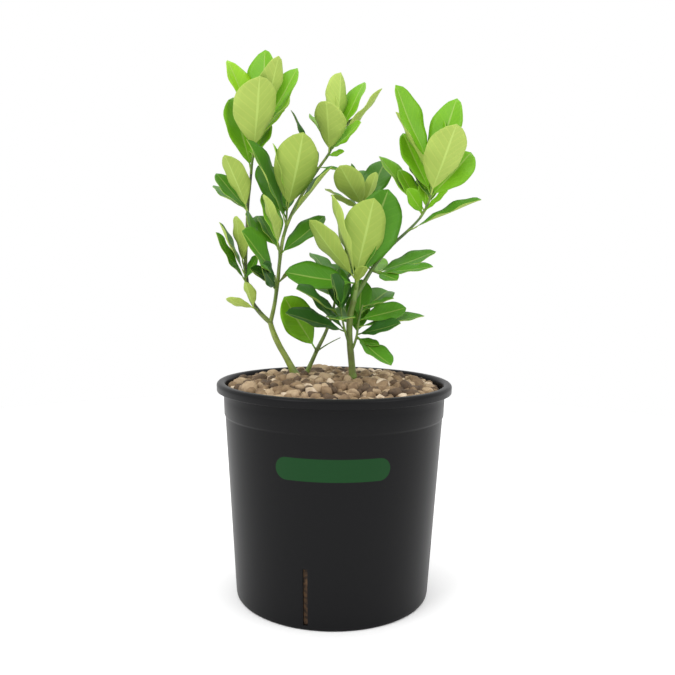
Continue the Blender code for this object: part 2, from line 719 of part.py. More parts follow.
def make_shoot(name, twig, leaves):
    """Join a twig and its leaves into one solid."""
    radii = TWIG_RADIUS * np.linspace(1.0, 0.65, len(twig))
    shoot = add_object(name, tube(name, twig, radii, TWIG_SIDES, 14), smooth=False)
    blades = [plain_object("blade", leaf_mesh(leaf)) for leaf in leaves]
    boolean_with(shoot, blades, "UNION")
    largest_piece(shoot)
    shoot.data.materials.clear()
    shoot.data.materials.append(material_for(name))
    return shoot


def main():
    clear_scene()
    make_pot()
    make_medium()
    make_gravel()
    limbs = grow_limbs()
    for name, (path, radii) in limbs.items():
        add_object(name, tube(name, path, radii, 8, 5, level_foot="at" in LIMBS[name]))
    twigs = grow_twigs(limbs)
    leaves = grow_leaves(twigs, limbs)
    for name in SHOOTS:
        make_shoot(name, twigs[name], leaves[name])
    bpy.context.view_layer.update()


main()
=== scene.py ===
import math
import random

import bmesh
import bpy
import numpy as np
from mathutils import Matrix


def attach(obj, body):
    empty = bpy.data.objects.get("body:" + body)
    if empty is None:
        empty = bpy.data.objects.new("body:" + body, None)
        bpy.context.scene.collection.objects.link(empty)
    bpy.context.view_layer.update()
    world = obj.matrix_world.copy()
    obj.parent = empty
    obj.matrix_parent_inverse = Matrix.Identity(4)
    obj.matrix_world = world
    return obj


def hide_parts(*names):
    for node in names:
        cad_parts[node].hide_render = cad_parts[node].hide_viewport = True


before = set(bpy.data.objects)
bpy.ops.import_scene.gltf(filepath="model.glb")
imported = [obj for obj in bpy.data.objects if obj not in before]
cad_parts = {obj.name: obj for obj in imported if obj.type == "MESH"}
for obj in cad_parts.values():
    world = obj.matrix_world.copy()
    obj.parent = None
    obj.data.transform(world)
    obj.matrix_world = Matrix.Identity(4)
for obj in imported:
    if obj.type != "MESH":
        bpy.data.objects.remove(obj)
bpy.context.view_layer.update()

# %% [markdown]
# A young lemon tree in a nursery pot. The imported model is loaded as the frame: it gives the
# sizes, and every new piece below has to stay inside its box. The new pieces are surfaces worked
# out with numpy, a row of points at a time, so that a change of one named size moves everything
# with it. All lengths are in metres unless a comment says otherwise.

# %% [markdown]
# These are the sizes that more than one cell needs. The pot's come from its outline in the
# photograph, with the rim set to the width of a common nursery pot. Heights are counted from
# the floor that the pot stands on.

# %% Shared measures
GAP = 0.0003                # air between neighbours that must not touch
RIM_TOP = 0.2115
BAND_TOP_RADIUS = 0.1086    # outside of the band under the lip
BAND_FOOT_RADIUS = 0.1079
BAND_FOOT = 0.1802          # height where the band ends in a small step inwards
STEP_HEIGHT = 0.0016
STEP_DEPTH = 0.0010
FOOT_RADIUS = 0.0956
WALL = 0.0021               # thickness of the pot's wall
FLOOR = 0.0030              # thickness of the pot's floor
GRAVEL_EDGE = 0.2035        # height of the gravel at the wall
GRAVEL_RISE = 0.0112        # how much higher it is in the middle
GROUND = 0.2134             # height where the stems start
PETIOLE = 0.10              # a leaf's stalk, as a share of the leaf's length
PETIOLE_WIDTH = 0.0014
TWIG_RADIUS = 0.0012
print("pot", round(2000 * FOOT_RADIUS, 1), "mm across its foot,", 1000 * RIM_TOP, "mm high")

# %% [markdown]
# The plant itself is a plan of limbs, short shoots and leaves. Leaning and coming forward are
# two angles that can be read off a photograph, so each limb and each leaf in view is one short
# row. Modelling each leaf by hand would be slow, and hard to mend. The same plan built the
# solids, which keeps the fine leaves where the solid ones are.

# %% The plan of limbs and shoots
# Limbs. Each starts on the ground at (x, y), or at the tip of another limb. Its angles are
# read at even spaces from foot to tip, its radii at its foot and its tip.
LIMBS = {
    "stem_left": dict(at=(-0.0390, 0.0150), length=0.0600, radii=(0.0034, 0.0027), flare=0.0012,
                      lean=(-28, -29, -30, -24, -13), fore=(2, 4, 3, -1, -1)),
    "stem_middle": dict(at=(-0.0297, 0.0220), length=0.0760, radii=(0.0023, 0.0015), flare=0.0008,
                        lean=(25, 23, 27, 19, 12), fore=(8, 5, -1, -9, -16)),
    "stem_right": dict(at=(0.0186, 0.0080), length=0.0790, radii=(0.0034, 0.0030), flare=0.0011,
                       lean=(-6, -6, -5, 4, 18), fore=(3, 3, 7, 8, 8)),
    "bough_left": dict(on="stem_left", length=0.1540, radii=(0.0024, 0.0012),
                       lean=(-50, -39, -12, -4, 2, 3, 2, 8, 4),
                       fore=(7, 6, 4, -2, -4, -1, 2, 4, 5)),
    "bough_inner": dict(on="stem_left", length=0.1780, radii=(0.0021, 0.0013),
                        lean=(15, 9, 5, 7, 20, 28, 32, 36), fore=(7, 8, 2, -10, -14, -8, -5, -4)),
    "bough_centre": dict(on="stem_right", length=0.0910, radii=(0.0024, 0.0014),
                         lean=(12, 6, 6, 4, 0), fore=(-9, -32, -22, -12, -5)),
    "bough_right": dict(on="stem_right", length=0.1080, radii=(0.0024, 0.0012),
                        lean=(30, 30, 39, 49, 40), fore=(-23, -19, -8, -1, 2)),
}

# Shoots. Each is a short twig that sits on a limb, part of the way along it, or on its tip.
# Its seen leaves stand at a share of the twig's length and have a lean, a fore, a length and
# a width in millimetres and a roll about their own midrib. The rest grow by the rule.
SHOOTS = {
    "leaves_top_left": dict(on="bough_left", at=1.0, length=0.049, lean=(4, 13, 5), fore=(8, 7, -3),
                            hidden=5, leaves=(
        (0.05, -15, -9, 76, 40, -20),
        (0.21, 11, -36, 58, 29, -5),
        (0.44, 10, 38, 76, 45, 20),
        (0.72, 30, -4, 78, 33, 40),
        (0.85, -24, -4, 74, 34, -25),
        (0.92, 22, 32, 72, 30, 20),
        (0.97, 4, -10, 76, 34, -10))),
    "leaves_left_upper": dict(on="bough_left", at=0.73, length=0.011, lean=(8,), fore=(44,),
                              hidden=2, leaves=(
        (0.45, -41, -26, 50, 25, -25),
        (0.60, -20, 32, 60, 26, 0),
        (0.95, 163, 49, 42, 17, -45))),
    "leaves_left_lower": dict(on="bough_left", at=0.24, length=0.030, lean=(-20, -3, -12),
                              fore=(40, 0, 2), hidden=3, leaves=(
        (0.20, -27, 36, 62, 19, -65),
        (0.30, 31, 21, 28, 14, 75),
        (0.95, -3, 35, 54, 24, -45))),
    "leaves_left_foot": dict(on="bough_left", at=0.09, length=0.010, lean=(-45,), fore=(51,),
                             hidden=0, leaves=(
        (0.60, -71, 22, 30, 12, 40),
        (0.75, -12, 36, 32, 14, -15))),
    "leaves_inner_low": dict(on="bough_inner", at=0.09, length=0.030, lean=(9, 2, -5),
                             fore=(29, 20, 18), hidden=1, leaves=(
        (0.40, 48, -20, 30, 14, -5),
        (0.24, -50, 43, 36, 13, -40),
        (0.30, -24, 59, 46, 23, -90),
        (0.57, -59, 40, 34, 15, -65),
        (0.92, -32, 28, 74, 34, -75))),
    "leaves_inner_middle": dict(on="bough_inner", at=0.31, length=0.023, lean=(6, -1, -9),
                                fore=(28, 19, 12), hidden=3, leaves=(
        (0.28, 48, -34, 62, 28, 30),
        (0.70, -38, -20, 52, 28, -20),
        (0.89, -13, 41, 60, 24, -40))),
    "leaves_inner_top": dict(on="bough_inner", at=0.47, length=0.032, lean=(17, 6, 3),
                             fore=(21, 17, 10), hidden=3, leaves=(
        (0.24, 39, -24, 74, 37, 25),
        (0.32, -25, 12, 88, 36, -50),
        (0.82, 13, 17, 76, 44, -15),
        (0.98, -12, 23, 62, 13, -70))),
    "leaves_inner_upper": dict(on="bough_inner", at=0.84, length=0.016, lean=(46, 23, 20),
                               fore=(30, 18, 11), hidden=3, leaves=(
        (0.30, -21, -6, 68, 14, 0),
        (0.80, -80, 60, 30, 15, -10),
        (0.94, 100, 45, 34, 17, 15))),
    "leaves_top_middle": dict(on="bough_inner", at=1.0, length=0.030, lean=(35, 20, 0),
                              fore=(-2, -1, -7), hidden=4, leaves=(
        (0.08, 85, 43, 22, 8, 60),
        (0.17, -4, 41, 56, 35, -25),
        (0.33, 55, 44, 48, 19, 65),
        (0.34, 39, -7, 80, 20, -20),
        (0.36, -4, -13, 64, 26, 105),
        (0.49, 25, -15, 76, 34, 5),
        (0.95, 4, -11, 62, 30, -115))),
    "leaves_centre_top": dict(on="bough_centre", at=1.0, length=0.011, lean=(8,), fore=(1,),
                              hidden=4, leaves=(
        (0.40, -67, 3, 36, 13, 15),
        (0.57, -15, -15, 50, 15, 15),
        (0.70, -36, 18, 62, 28, 25),
        (0.80, 21, -45, 34, 17, -25),
        (0.90, 19, 33, 38, 15, 5))),
    "leaves_centre": dict(on="bough_centre", at=0.09, length=0.019, lean=(2, -6, 0),
                          fore=(31, 38, 36), hidden=1, leaves=(
        (0.30, -82, -2, 70, 32, -55),
        (0.32, 25, 50, 28, 13, 0),
        (0.45, 19, -10, 98, 48, 80),
        (0.68, -39, 8, 72, 30, 30),
        (0.70, 12, 6, 79, 48, -35),
        (0.78, -17, 17, 84, 25, -25),
        (0.80, -4, -44, 50, 25, 30))),
    "leaves_right_middle": dict(on="bough_right", at=0.24, length=0.009, lean=(115,), fore=(35,),
                                hidden=3, leaves=(
        (0.60, 70, -8, 64, 26, 25),
        (0.75, 83, 31, 60, 18, 30),
        (0.92, 111, 52, 30, 18, 30))),
    "leaves_centre_low": dict(on="stem_right", at=0.38, length=0.044, lean=(-20, -15, -6),
                              fore=(24, 10, 4), hidden=3, leaves=(
        (0.16, -72, 25, 66, 28, -35),
        (0.20, -44, -17, 54, 16, -15),
        (0.58, -54, 22, 82, 29, -40),
        (0.69, -111, 87, 46, 28, 0),
        (0.92, -16, 25, 52, 23, -100),
        (0.95, -2, -26, 44, 20, 40),
        (0.98, -18, 33, 44, 18, -85))),
    "leaves_right_low": dict(on="stem_right", at=0.32, length=0.050, lean=(26, 5, 19),
                             fore=(23, -5, -16), hidden=4, leaves=(
        (0.16, 103, 36, 28, 11, 30),
        (0.22, 127, 47, 58, 23, 10),
        (0.26, 72, 31, 50, 20, 40),
        (0.46, 81, -8, 68, 24, 15),
        (0.62, 76, -12, 50, 23, 50),
        (0.97, 74, 25, 34, 10, 25))),
    "leaves_middle_low": dict(on="stem_middle", at=0.34, length=0.009, lean=(-5,), fore=(54,),
                              hidden=0, leaves=(
        (0.75, -30, 19, 64, 36, -90),)),
    "leaves_middle_top": dict(on="stem_middle", at=1.0, length=0.029, lean=(11, 5, 3),
                              fore=(-26, -15, -16), hidden=6, leaves=()),
    "leaves_top_right": dict(on="bough_right", at=1.0, length=0.056, lean=(36, 8, -15),
                             fore=(5, 1, -6), hidden=5, leaves=(
        (0.06, -36, -15, 76, 30, -15),
        (0.08, -40, 34, 34, 17, -100),
        (0.12, 47, 37, 34, 10, 60),
        (0.14, -30, -18, 52, 23, -20),
        (0.19, -2, -23, 32, 16, 15),
        (0.39, 42, -15, 66, 37, 50),
        (0.44, 16, 34, 76, 42, -5),
        (0.46, -24, -15, 70, 30, -35),
        (0.67, 16, -4, 86, 35, 40),
        (0.70, -28, -8, 78, 20, 30),
        (0.72, 10, -6, 60, 27, -10),
        (0.98, -27, 11, 83, 32, -70))),
    "leaf_right": dict(on="bough_right", at=0.81, length=0.008, lean=(64,), fore=(54,),
                       hidden=0, leaves=(
        (0.75, 67, 25, 74, 26, 25),)),
}

SEEN = sum(len(shoot["leaves"]) for shoot in SHOOTS.values())
print("rows:", len(LIMBS), "limbs,", len(SHOOTS), "shoots,", SEEN, "leaves in view")

# %% [markdown]
# Two angles give a direction. A lean of 0 is straight up and of 90 is to the right, and a fore
# of 90 comes straight at the viewer. A limb could also be a Bezier curve drawn by hand. Here it
# is walked along in short steps, each turned a little from the one before, because the angles
# can then be typed in as they are read.

# %% Directions and walks


def unit(vector):
    """A vector at length one."""
    return vector / math.sqrt(float(vector @ vector))


def pointing(lean, fore):
    """The unit vector along a lean and a fore, both in degrees."""
    a = math.radians(lean)
    b = math.radians(fore)
    return np.array((math.sin(a) * math.cos(b), -math.sin(b), math.cos(a) * math.cos(b)))


def between(values, share):
    """Read a row of evenly spaced values at a share of its length."""
    if len(values) == 1:
        return values[0]
    place = min(max(share, 0.0), 1.0) * (len(values) - 1)
    index = min(int(place), len(values) - 2)
    return values[index] + (values[index + 1] - values[index]) * (place - index)


def walk(start, length, lean, fore, spacing):
    """Walk along a limb in short steps, each in the direction that its angles give there."""
    count = max(2, round(length / spacing))
    path = [np.array(start, dtype=float)]
    for step in range(count):
        share = (step + 0.5) / count
        way = pointing(between(lean, share), between(fore, share))
        path.append(path[-1] + way * length / count)
    return np.array(path)


def heading_at(path, index):
    """Direction of a path at one of its points."""
    return unit(path[min(index + 1, len(path) - 1)] - path[max(index - 1, 0)])


for word, angles in (("up", (0, 0)), ("right", (90, 0)), ("to the viewer", (0, 90))):
    print(word, [round(float(v), 3) + 0.0 for v in pointing(*angles)])

# %% [markdown]
# A stem flares at its foot, where it meets the ground. Each bough and twig starts just clear of
# the limb that bears it, because solids of the frame must not touch. The pieces that are shown
# run on into the fork, so that this gap is never seen.

# %% Limbs and twigs


def ring_at(centre, heading, radius, sides):
    """Points of a circle square to a heading."""
    side = unit(np.cross((0.0, 1.0, 0.0), heading))
    front = np.cross(heading, side)
    angles = np.arange(sides) * math.tau / sides
    return centre + radius * (np.cos(angles)[:, None] * side + np.sin(angles)[:, None] * front)


def limb_radii(limb, path):
    """Radius of a limb at every point of its path, wider at a flared foot."""
    foot, tip = limb["radii"]
    share = np.linspace(0.0, 1.0, len(path))
    flare = limb.get("flare", 0.0) * np.exp(-share * limb["length"] / 0.005)
    return foot + (tip - foot) * share + flare


def bark_distance(points, path, radii):
    """Least distance from points to a limb's bark. It is negative inside the limb."""
    ahead = (points - path[-1]) @ heading_at(path, len(path) - 1)
    away = np.sqrt(((points[:, None] - path[None]) ** 2).sum(axis=2)) - radii
    return float(np.maximum(away.min(axis=1), ahead).min())


def first_clear(path, radius, bearers):
    """First point of a path where a disc of that radius stands clear of the limbs."""
    for index in range(len(path) - 2):
        disc = ring_at(path[index], heading_at(path, index), radius, 12)
        if min(bark_distance(disc, *bearer) for bearer in bearers) > 1.5 * GAP:
            return index
    return len(path) - 2


def grow_limbs():
    """Work out every limb's path. A bough starts just clear of the limb that bears it."""
    limbs = {}
    for name, limb in LIMBS.items():
        if "at" in limb:
            path = walk((*limb["at"], GROUND), limb["length"], limb["lean"], limb["fore"], 0.002)
            limbs[name] = (path, limb_radii(limb, path))
            continue
        parent = limbs[limb["on"]][0]
        path = walk(parent[-1], limb["length"], limb["lean"], limb["fore"], 0.0005)
        near = [limbs[limb["on"]]]
        near += [limbs[key] for key in limbs if LIMBS[key].get("on") == limb["on"]]
        path = path[first_clear(path, limb["radii"][0], near):]
        path = np.concatenate((path[:-1:4], path[-1:]))
        limbs[name] = (path, limb_radii(limb, path))
    return limbs


def grow_twigs(limbs):
    """Work out every shoot's twig, from just clear of its limb."""
    twigs = {}
    for name, shoot in SHOOTS.items():
        parent = limbs[shoot["on"]][0]
        start = parent[round(shoot["at"] * (len(parent) - 1))]
        path = walk(start, shoot["length"], shoot["lean"], shoot["fore"], 0.0005)
        twigs[name] = path[first_clear(path, TWIG_RADIUS, limbs.values()):]
    return twigs


LIMB_PATHS = grow_limbs()
TWIG_PATHS = grow_twigs(LIMB_PATHS)
print("limbs", len(LIMB_PATHS), "twigs", len(TWIG_PATHS))

# %% [markdown]
# A blade is narrow at its stalk, widest past its middle and blunt at its tip. One sine, raised
# to a power, gives that outline, so no leaf has to be drawn. A leaf's upper side faces up as
# far as its direction lets it, and is then rolled about its own midrib.

# %% The outline of a leaf


def upper_side(heading, roll):
    """The way that a leaf's upper side faces: as far up as it can, then rolled."""
    level = unit(np.array((0.0, 0.0, 1.0)) - heading * heading[2])
    angle = math.radians(roll)
    return level * math.cos(angle) + np.cross(heading, level) * math.sin(angle)


def half_width(share):
    """Half of a blade's width at a share of its length, in units of its widest half."""
    return np.abs(np.sin(math.pi * np.clip(share, 0.0, 1.0) ** 1.24)) ** 0.62


def leaf_samples(leaf):
    """Points spread over a leaf, which stand for it in distance tests."""
    share = np.linspace(0.08, 1.0, 24)
    centre = leaf["root"] + leaf["heading"] * (leaf["length"] * share)[:, None]
    arch = leaf["arch"] * leaf["length"] * 4.0 * share * (1.0 - share)
    centre += leaf["normal"] * arch[:, None]
    reach = leaf["width"] / 2 * half_width((share - PETIOLE) / (1.0 - PETIOLE))
    across = np.cross(leaf["heading"], leaf["normal"])
    rows = [centre + across * (side * reach)[:, None] for side in np.linspace(-1.0, 1.0, 11)]
    return np.concatenate(rows)


SHARES = np.linspace(0.0, 1.0, 101)
print("a blade is widest at", SHARES[half_width(SHARES).argmax()], "of its length")

# %% [markdown]
# A leaf is tried in its own place first, then turned forwards or back by a few degrees until it
# has room. A real shoot does the same: its leaves turn their stalks out of each other's shade.
# Distances between two clouds of points are simple to work out, and close enough for blades.

# %% Room for a leaf
SHOOT_CLEAR = 0.0032        # least distance between the blades of two shoots
LIMB_CLEAR = 0.0016         # least distance from a blade to a limb's bark
NUDGES = (0, 5, -5, 10, -10, 16, -16, 22, -22, 29, -29, 37, -37)    # degrees, tried in turn


def nearest(points, others):
    """Least distance between two sets of points."""
    apart = points[:, None, :] - others[None, :, :]
    return math.sqrt(float((apart ** 2).sum(axis=2).min()))


def has_room(points, name, placed, twigs, limbs):
    """Tell whether a leaf's points keep clear of the other shoots and of every limb."""
    low = points.min(axis=0) - SHOOT_CLEAR
    high = points.max(axis=0) + SHOOT_CLEAR
    for other, cloud in placed:
        if other == name or (cloud.min(axis=0) > high).any() or (cloud.max(axis=0) < low).any():
            continue
        if nearest(points, cloud) < SHOOT_CLEAR:
            return False
    for other, twig in twigs.items():
        if other != name and nearest(points, twig[::3]) < SHOOT_CLEAR:
            return False
    return min(bark_distance(points, *limb) for limb in limbs.values()) > LIMB_CLEAR


def settle(name, twig, row, rng, placed, twigs, limbs):
    """Place one leaf, turned forwards or back by the least angle that gives it room."""
    share, lean, fore, length, width, roll = row
    arch = rng.uniform(-0.01, 0.04)
    fold = rng.uniform(8, 20)
    for nudge in NUDGES:
        heading = pointing(lean, fore + nudge)
        leaf = dict(root=twig[round(share * (len(twig) - 1))], heading=heading,
                    normal=upper_side(heading, roll), length=length / 1000, width=width / 1000,
                    arch=arch, fold=fold, share=share)
        points = leaf_samples(leaf)
        if has_room(points, name, placed, twigs, limbs):
            placed.append((name, points))
            return leaf
    return None


print("a leaf is tried in", len(NUDGES), "places at most")

# %% [markdown]
# The photograph hides the far side of the plant. A rule fills it: leaves spread round the far
# side of each shoot by the golden angle, which is how many plants space theirs. Their sizes and
# tilts are drawn with a fixed seed, so that every run grows the same plant.

# %% Growing the leaves
HIDDEN_SEED = 11
HIDDEN_LENGTH = (48, 70)    # millimetres
GOLDEN_DEGREES = 137.5


def hidden_rows(count, rng):
    """Rows for the leaves behind a shoot, spread round its far side from low to high."""
    rows = []
    for index in range(count):
        share = 0.15 + 0.75 * (index + 0.5) / count
        swing = 36 * math.sin(math.radians(GOLDEN_DEGREES) * index * 2) + rng.uniform(-12, 12)
        rise = rng.uniform(14, 56)
        flat = math.cos(math.radians(rise))
        across = flat * math.sin(math.radians(swing))
        lean = math.degrees(math.atan2(across, math.sin(math.radians(rise))))
        fore = -math.degrees(math.asin(flat * math.cos(math.radians(swing))))
        length = rng.uniform(*HIDDEN_LENGTH)
        rows.append((share, lean, fore, length, length * rng.uniform(0.42, 0.52),
                     rng.uniform(-25, 25)))
    return rows


def grow_leaves(twigs, limbs):
    """All leaves by shoot: first those that show, then the hidden ones.

    A leaf that finds no room is left out.
    """
    rng = random.Random(HIDDEN_SEED)
    placed = []
    leaves = {name: [] for name in SHOOTS}
    for name, shoot in SHOOTS.items():
        for row in shoot["leaves"]:
            leaves[name].append(settle(name, twigs[name], row, rng, placed, twigs, limbs))
    for name, shoot in SHOOTS.items():
        for row in hidden_rows(shoot["hidden"], rng):
            leaves[name].append(settle(name, twigs[name], row, rng, placed, twigs, limbs))
    return {name: [leaf for leaf in group if leaf] for name, group in leaves.items()}


LEAVES = grow_leaves(TWIG_PATHS, LIMB_PATHS)
print("leaves", sum(map(len, LEAVES.values())))

# %% [markdown]
# Every new piece is made the same way: a numpy array of corners, an array of four-cornered
# faces, and one material number for each face. A mesh could be built one corner at a time, but
# foreach_set hands over whole arrays at once and needs no loop. A ring whose corners all lie at
# one place is welded to a point there, and that closes the ends of tubes and stones.

# %% Making a piece
WELD = 1e-6                 # corners nearer than this become one


def make_piece(name, corners, faces, finishes, slots=None, uv=None, smooth=True):
    """A mesh object from corner and quad arrays. Corners at one place are welded, so poles close.

    Blender then turns the faces of each closed part outwards.
    """
    mesh = bpy.data.meshes.new(name)
    mesh.vertices.add(len(corners))
    mesh.vertices.foreach_set("co", np.asarray(corners, dtype=np.float32).ravel())
    mesh.loops.add(faces.size)
    mesh.loops.foreach_set("vertex_index", faces.astype(np.int32).ravel())
    mesh.polygons.add(len(faces))
    mesh.polygons.foreach_set("loop_start", np.arange(0, faces.size, 4, dtype=np.int32))
    mesh.polygons.foreach_set("use_smooth", np.array(np.broadcast_to(smooth, len(faces))))
    for finish in finishes:
        mesh.materials.append(finish)
    if slots is not None:
        mesh.polygons.foreach_set("material_index", slots.astype(np.int32))
    if uv is not None:
        layer = mesh.uv_layers.new(name="leaf")
        layer.data.foreach_set("uv", uv[faces.ravel()].astype(np.float32).ravel())
    mesh.update(calc_edges=True)
    work = bmesh.new()
    work.from_mesh(mesh)
    bmesh.ops.remove_doubles(work, verts=work.verts, dist=WELD)
    bmesh.ops.recalc_face_normals(work, faces=work.faces)
    work.to_mesh(mesh)
    work.free()
    mesh.validate()
    item = bpy.data.objects.new(name, mesh)
    bpy.context.scene.collection.objects.link(item)
    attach(item, "root")
    return item


def grid_faces(rows, columns, wrap):
    """Quads of a grid of corners, row by row. A wrapped grid closes round its columns."""
    last = columns if wrap else columns - 1
    row, column = np.meshgrid(np.arange(rows - 1), np.arange(last), indexing="ij")
    after = (column + 1) % columns
    quads = (row * columns + column, row * columns + after,
             (row + 1) * columns + after, (row + 1) * columns + column)
    return np.stack([part.ravel() for part in quads], axis=1)


print("a grid of 3 rows round 8 columns has", len(grid_faces(3, 8, True)), "faces")

# %% [markdown]
# The finishes are all Principled materials, and none uses a picture. Bark, stone and roots are
# two colours blended by noise that sticks to the object, with a fine bump. That is cheap, has no
# seams and needs no unwrapping.

# %% A plain finish
BLEND_FROM, BLEND_TO = 0.38, 0.66       # noise values where the blend starts and ends
GRAIN_RELIEF = 0.0006


def finish_of(name, colour, rough, second=None, scale=60.0, bump=0.0, coat=0.0):
    """A material of one colour, or of two blended by noise in object space, with a fine bump."""
    finish = bpy.data.materials.new(name)
    finish.use_nodes = True
    tree = finish.node_tree
    shader = tree.nodes["Principled BSDF"]
    shader.inputs["Base Color"].default_value = (*colour, 1.0)
    shader.inputs["Roughness"].default_value = rough
    shader.inputs["Coat Weight"].default_value = coat
    shader.inputs["Coat Roughness"].default_value = 0.25
    if second is None and bump == 0.0:
        return finish
    place = tree.nodes.new("ShaderNodeTexCoord")
    grain = tree.nodes.new("ShaderNodeTexNoise")
    grain.inputs["Scale"].default_value = scale
    grain.inputs["Detail"].default_value = 4.0
    tree.links.new(place.outputs["Object"], grain.inputs["Vector"])
    if second is not None:
        ramp = tree.nodes.new("ShaderNodeValToRGB")
        ramp.color_ramp.elements[0].position = BLEND_FROM
        ramp.color_ramp.elements[0].color = (*colour, 1.0)
        ramp.color_ramp.elements[1].position = BLEND_TO
        ramp.color_ramp.elements[1].color = (*second, 1.0)
        tree.links.new(grain.outputs["Fac"], ramp.inputs["Fac"])
        tree.links.new(ramp.outputs["Color"], shader.inputs["Base Color"])
    if bump:
        relief = tree.nodes.new("ShaderNodeBump")
        relief.inputs["Strength"].default_value = bump
        relief.inputs["Distance"].default_value = GRAIN_RELIEF
        tree.links.new(grain.outputs["Fac"], relief.inputs["Height"])
        tree.links.new(relief.outputs["Normal"], shader.inputs["Normal"])
    return finish


def math_node(tree, operation, first, second=None, clamp=False):
    """A math node whose two inputs are sockets or plain values."""
    node = tree.nodes.new("ShaderNodeMath")
    node.operation = operation
    node.use_clamp = clamp
    for index, value in enumerate((first, second)):
        if value is None:
            continue
        if isinstance(value, (int, float)):
            node.inputs[index].default_value = value
        else:
            tree.links.new(value, node.inputs[index])
    return node.outputs[0]


print("a plain finish and a math node are ready")

# %% [markdown]
# A leaf's upper side is waxy and catches the light, its underside is matt and much paler, and
# its midrib is a yellower line. Side veins run out from the midrib and forwards. They could be
# painted, but here they are a sine wave along the leaf's own two coordinates, cut to thin lines
# by a high power. The grid of the leaf gives those coordinates as a UV layer.

# %% A leaf's finish
VEIN_SLANT = -0.55          # how much further forward a vein is at the edge
VEIN_PACE = 56.0            # radians of wave along one blade
VEIN_SHARP = 5.0
VEIN_RELIEF = 0.0005


def leaf_finish(name, colour, rough, coat, vein):
    """A leaf colour with side veins: the sine of (length - 0.55 x distance aside) x 56."""
    finish = finish_of(name, colour, rough, coat=coat)
    tree = finish.node_tree
    shader = tree.nodes["Principled BSDF"]
    shader.inputs["Specular IOR Level"].default_value = 0.24
    place = tree.nodes.new("ShaderNodeUVMap")
    place.uv_map = "leaf"
    split = tree.nodes.new("ShaderNodeSeparateXYZ")
    tree.links.new(place.outputs["UV"], split.inputs["Vector"])
    aside = math_node(tree, "SUBTRACT", split.outputs["Y"], 0.5)
    aside = math_node(tree, "ABSOLUTE", aside)
    along = math_node(tree, "MULTIPLY", aside, VEIN_SLANT)
    along = math_node(tree, "ADD", along, split.outputs["X"])
    wave = math_node(tree, "SINE", math_node(tree, "MULTIPLY", along, VEIN_PACE))
    wave = math_node(tree, "MAXIMUM", wave, 0.0)
    wave = math_node(tree, "POWER", wave, VEIN_SHARP)
    mix = tree.nodes.new("ShaderNodeMix")
    mix.data_type = "RGBA"
    tree.links.new(math_node(tree, "MULTIPLY", wave, vein, clamp=True), mix.inputs["Factor"])
    mix.inputs["A"].default_value = (*colour, 1.0)
    paler = (colour[0] * 1.7 + 0.03, colour[1] * 1.3 + 0.03, colour[2] * 1.5 + 0.01)
    mix.inputs["B"].default_value = (*(min(part, 1) for part in paler), 1.0)
    tree.links.new(mix.outputs["Result"], shader.inputs["Base Color"])
    relief = tree.nodes.new("ShaderNodeBump")
    relief.inputs["Strength"].default_value = 0.18
    relief.inputs["Distance"].default_value = VEIN_RELIEF
    relief.invert = True
    tree.links.new(wave, relief.inputs["Height"])
    tree.links.new(relief.outputs["Normal"], shader.inputs["Normal"])
    return finish


print("veins on each side of a blade", round(VEIN_PACE / math.tau))

# %% [markdown]
# Young leaves are lime and old ones are a dark green. Whether a leaf looks young or old is one
# plain colour for the whole leaf, which stays true in any exported file. Four tones are enough.

# %% Leaf tones
TONES = {                   # colour of the upper side, colour of the underside
    "bright": ((0.265, 0.520, 0.011), (0.390, 0.510, 0.105)),
    "fresh": ((0.155, 0.390, 0.007), (0.370, 0.490, 0.098)),
    "full": ((0.060, 0.210, 0.006), (0.300, 0.410, 0.072)),
    "deep": ((0.020, 0.095, 0.006), (0.180, 0.265, 0.042)),
}
FINISHES = {}
for tone, (upper, under) in TONES.items():
    rib = tuple(0.5 * (a + b) for a, b in zip(upper, under))
    low_rib = tuple(min(1.18 * part + 0.01, 1.0) for part in under)
    FINISHES[tone] = (leaf_finish("leaf_" + tone, upper, 0.50, 0.06, 0.12),
                      leaf_finish("underside_" + tone, under, 0.65, 0.0, 0.16),
                      finish_of("rib_" + tone, rib, 0.55),
                      finish_of("under_rib_" + tone, low_rib, 0.6))
print("leaf tones", list(TONES))

# %% [markdown]
# A lemon leaf is a blade folded along its midrib, a little wavy at its edge, on a short stalk.
# Each one is a grid of corners, dense at the midrib so that the rib can have its own material.
# A copy of the grid a little lower gives the blade its thickness.

# %% The surface of a leaf
ALONG = 19                  # rows of corners from stalk to tip
STALK_ROWS = 4
SIDE = np.array((-1.0, -0.72, -0.42, -0.055, 0.0, 0.055, 0.42, 0.72, 1.0))   # shares of half width
ACROSS = len(SIDE)
BLADE = 0.00060             # thickness of a blade
TIP_WIDTH = 0.0002
SAG = 0.02                  # how far a blade hangs, as a share of its length
WAVE_HEIGHT = 0.018         # of the edge, as a share of the leaf's length
WAVE_PACE = 15.0            # radians of wave along one blade
WAVE_STARTS = 6.28          # a wave starts anywhere in this many radians


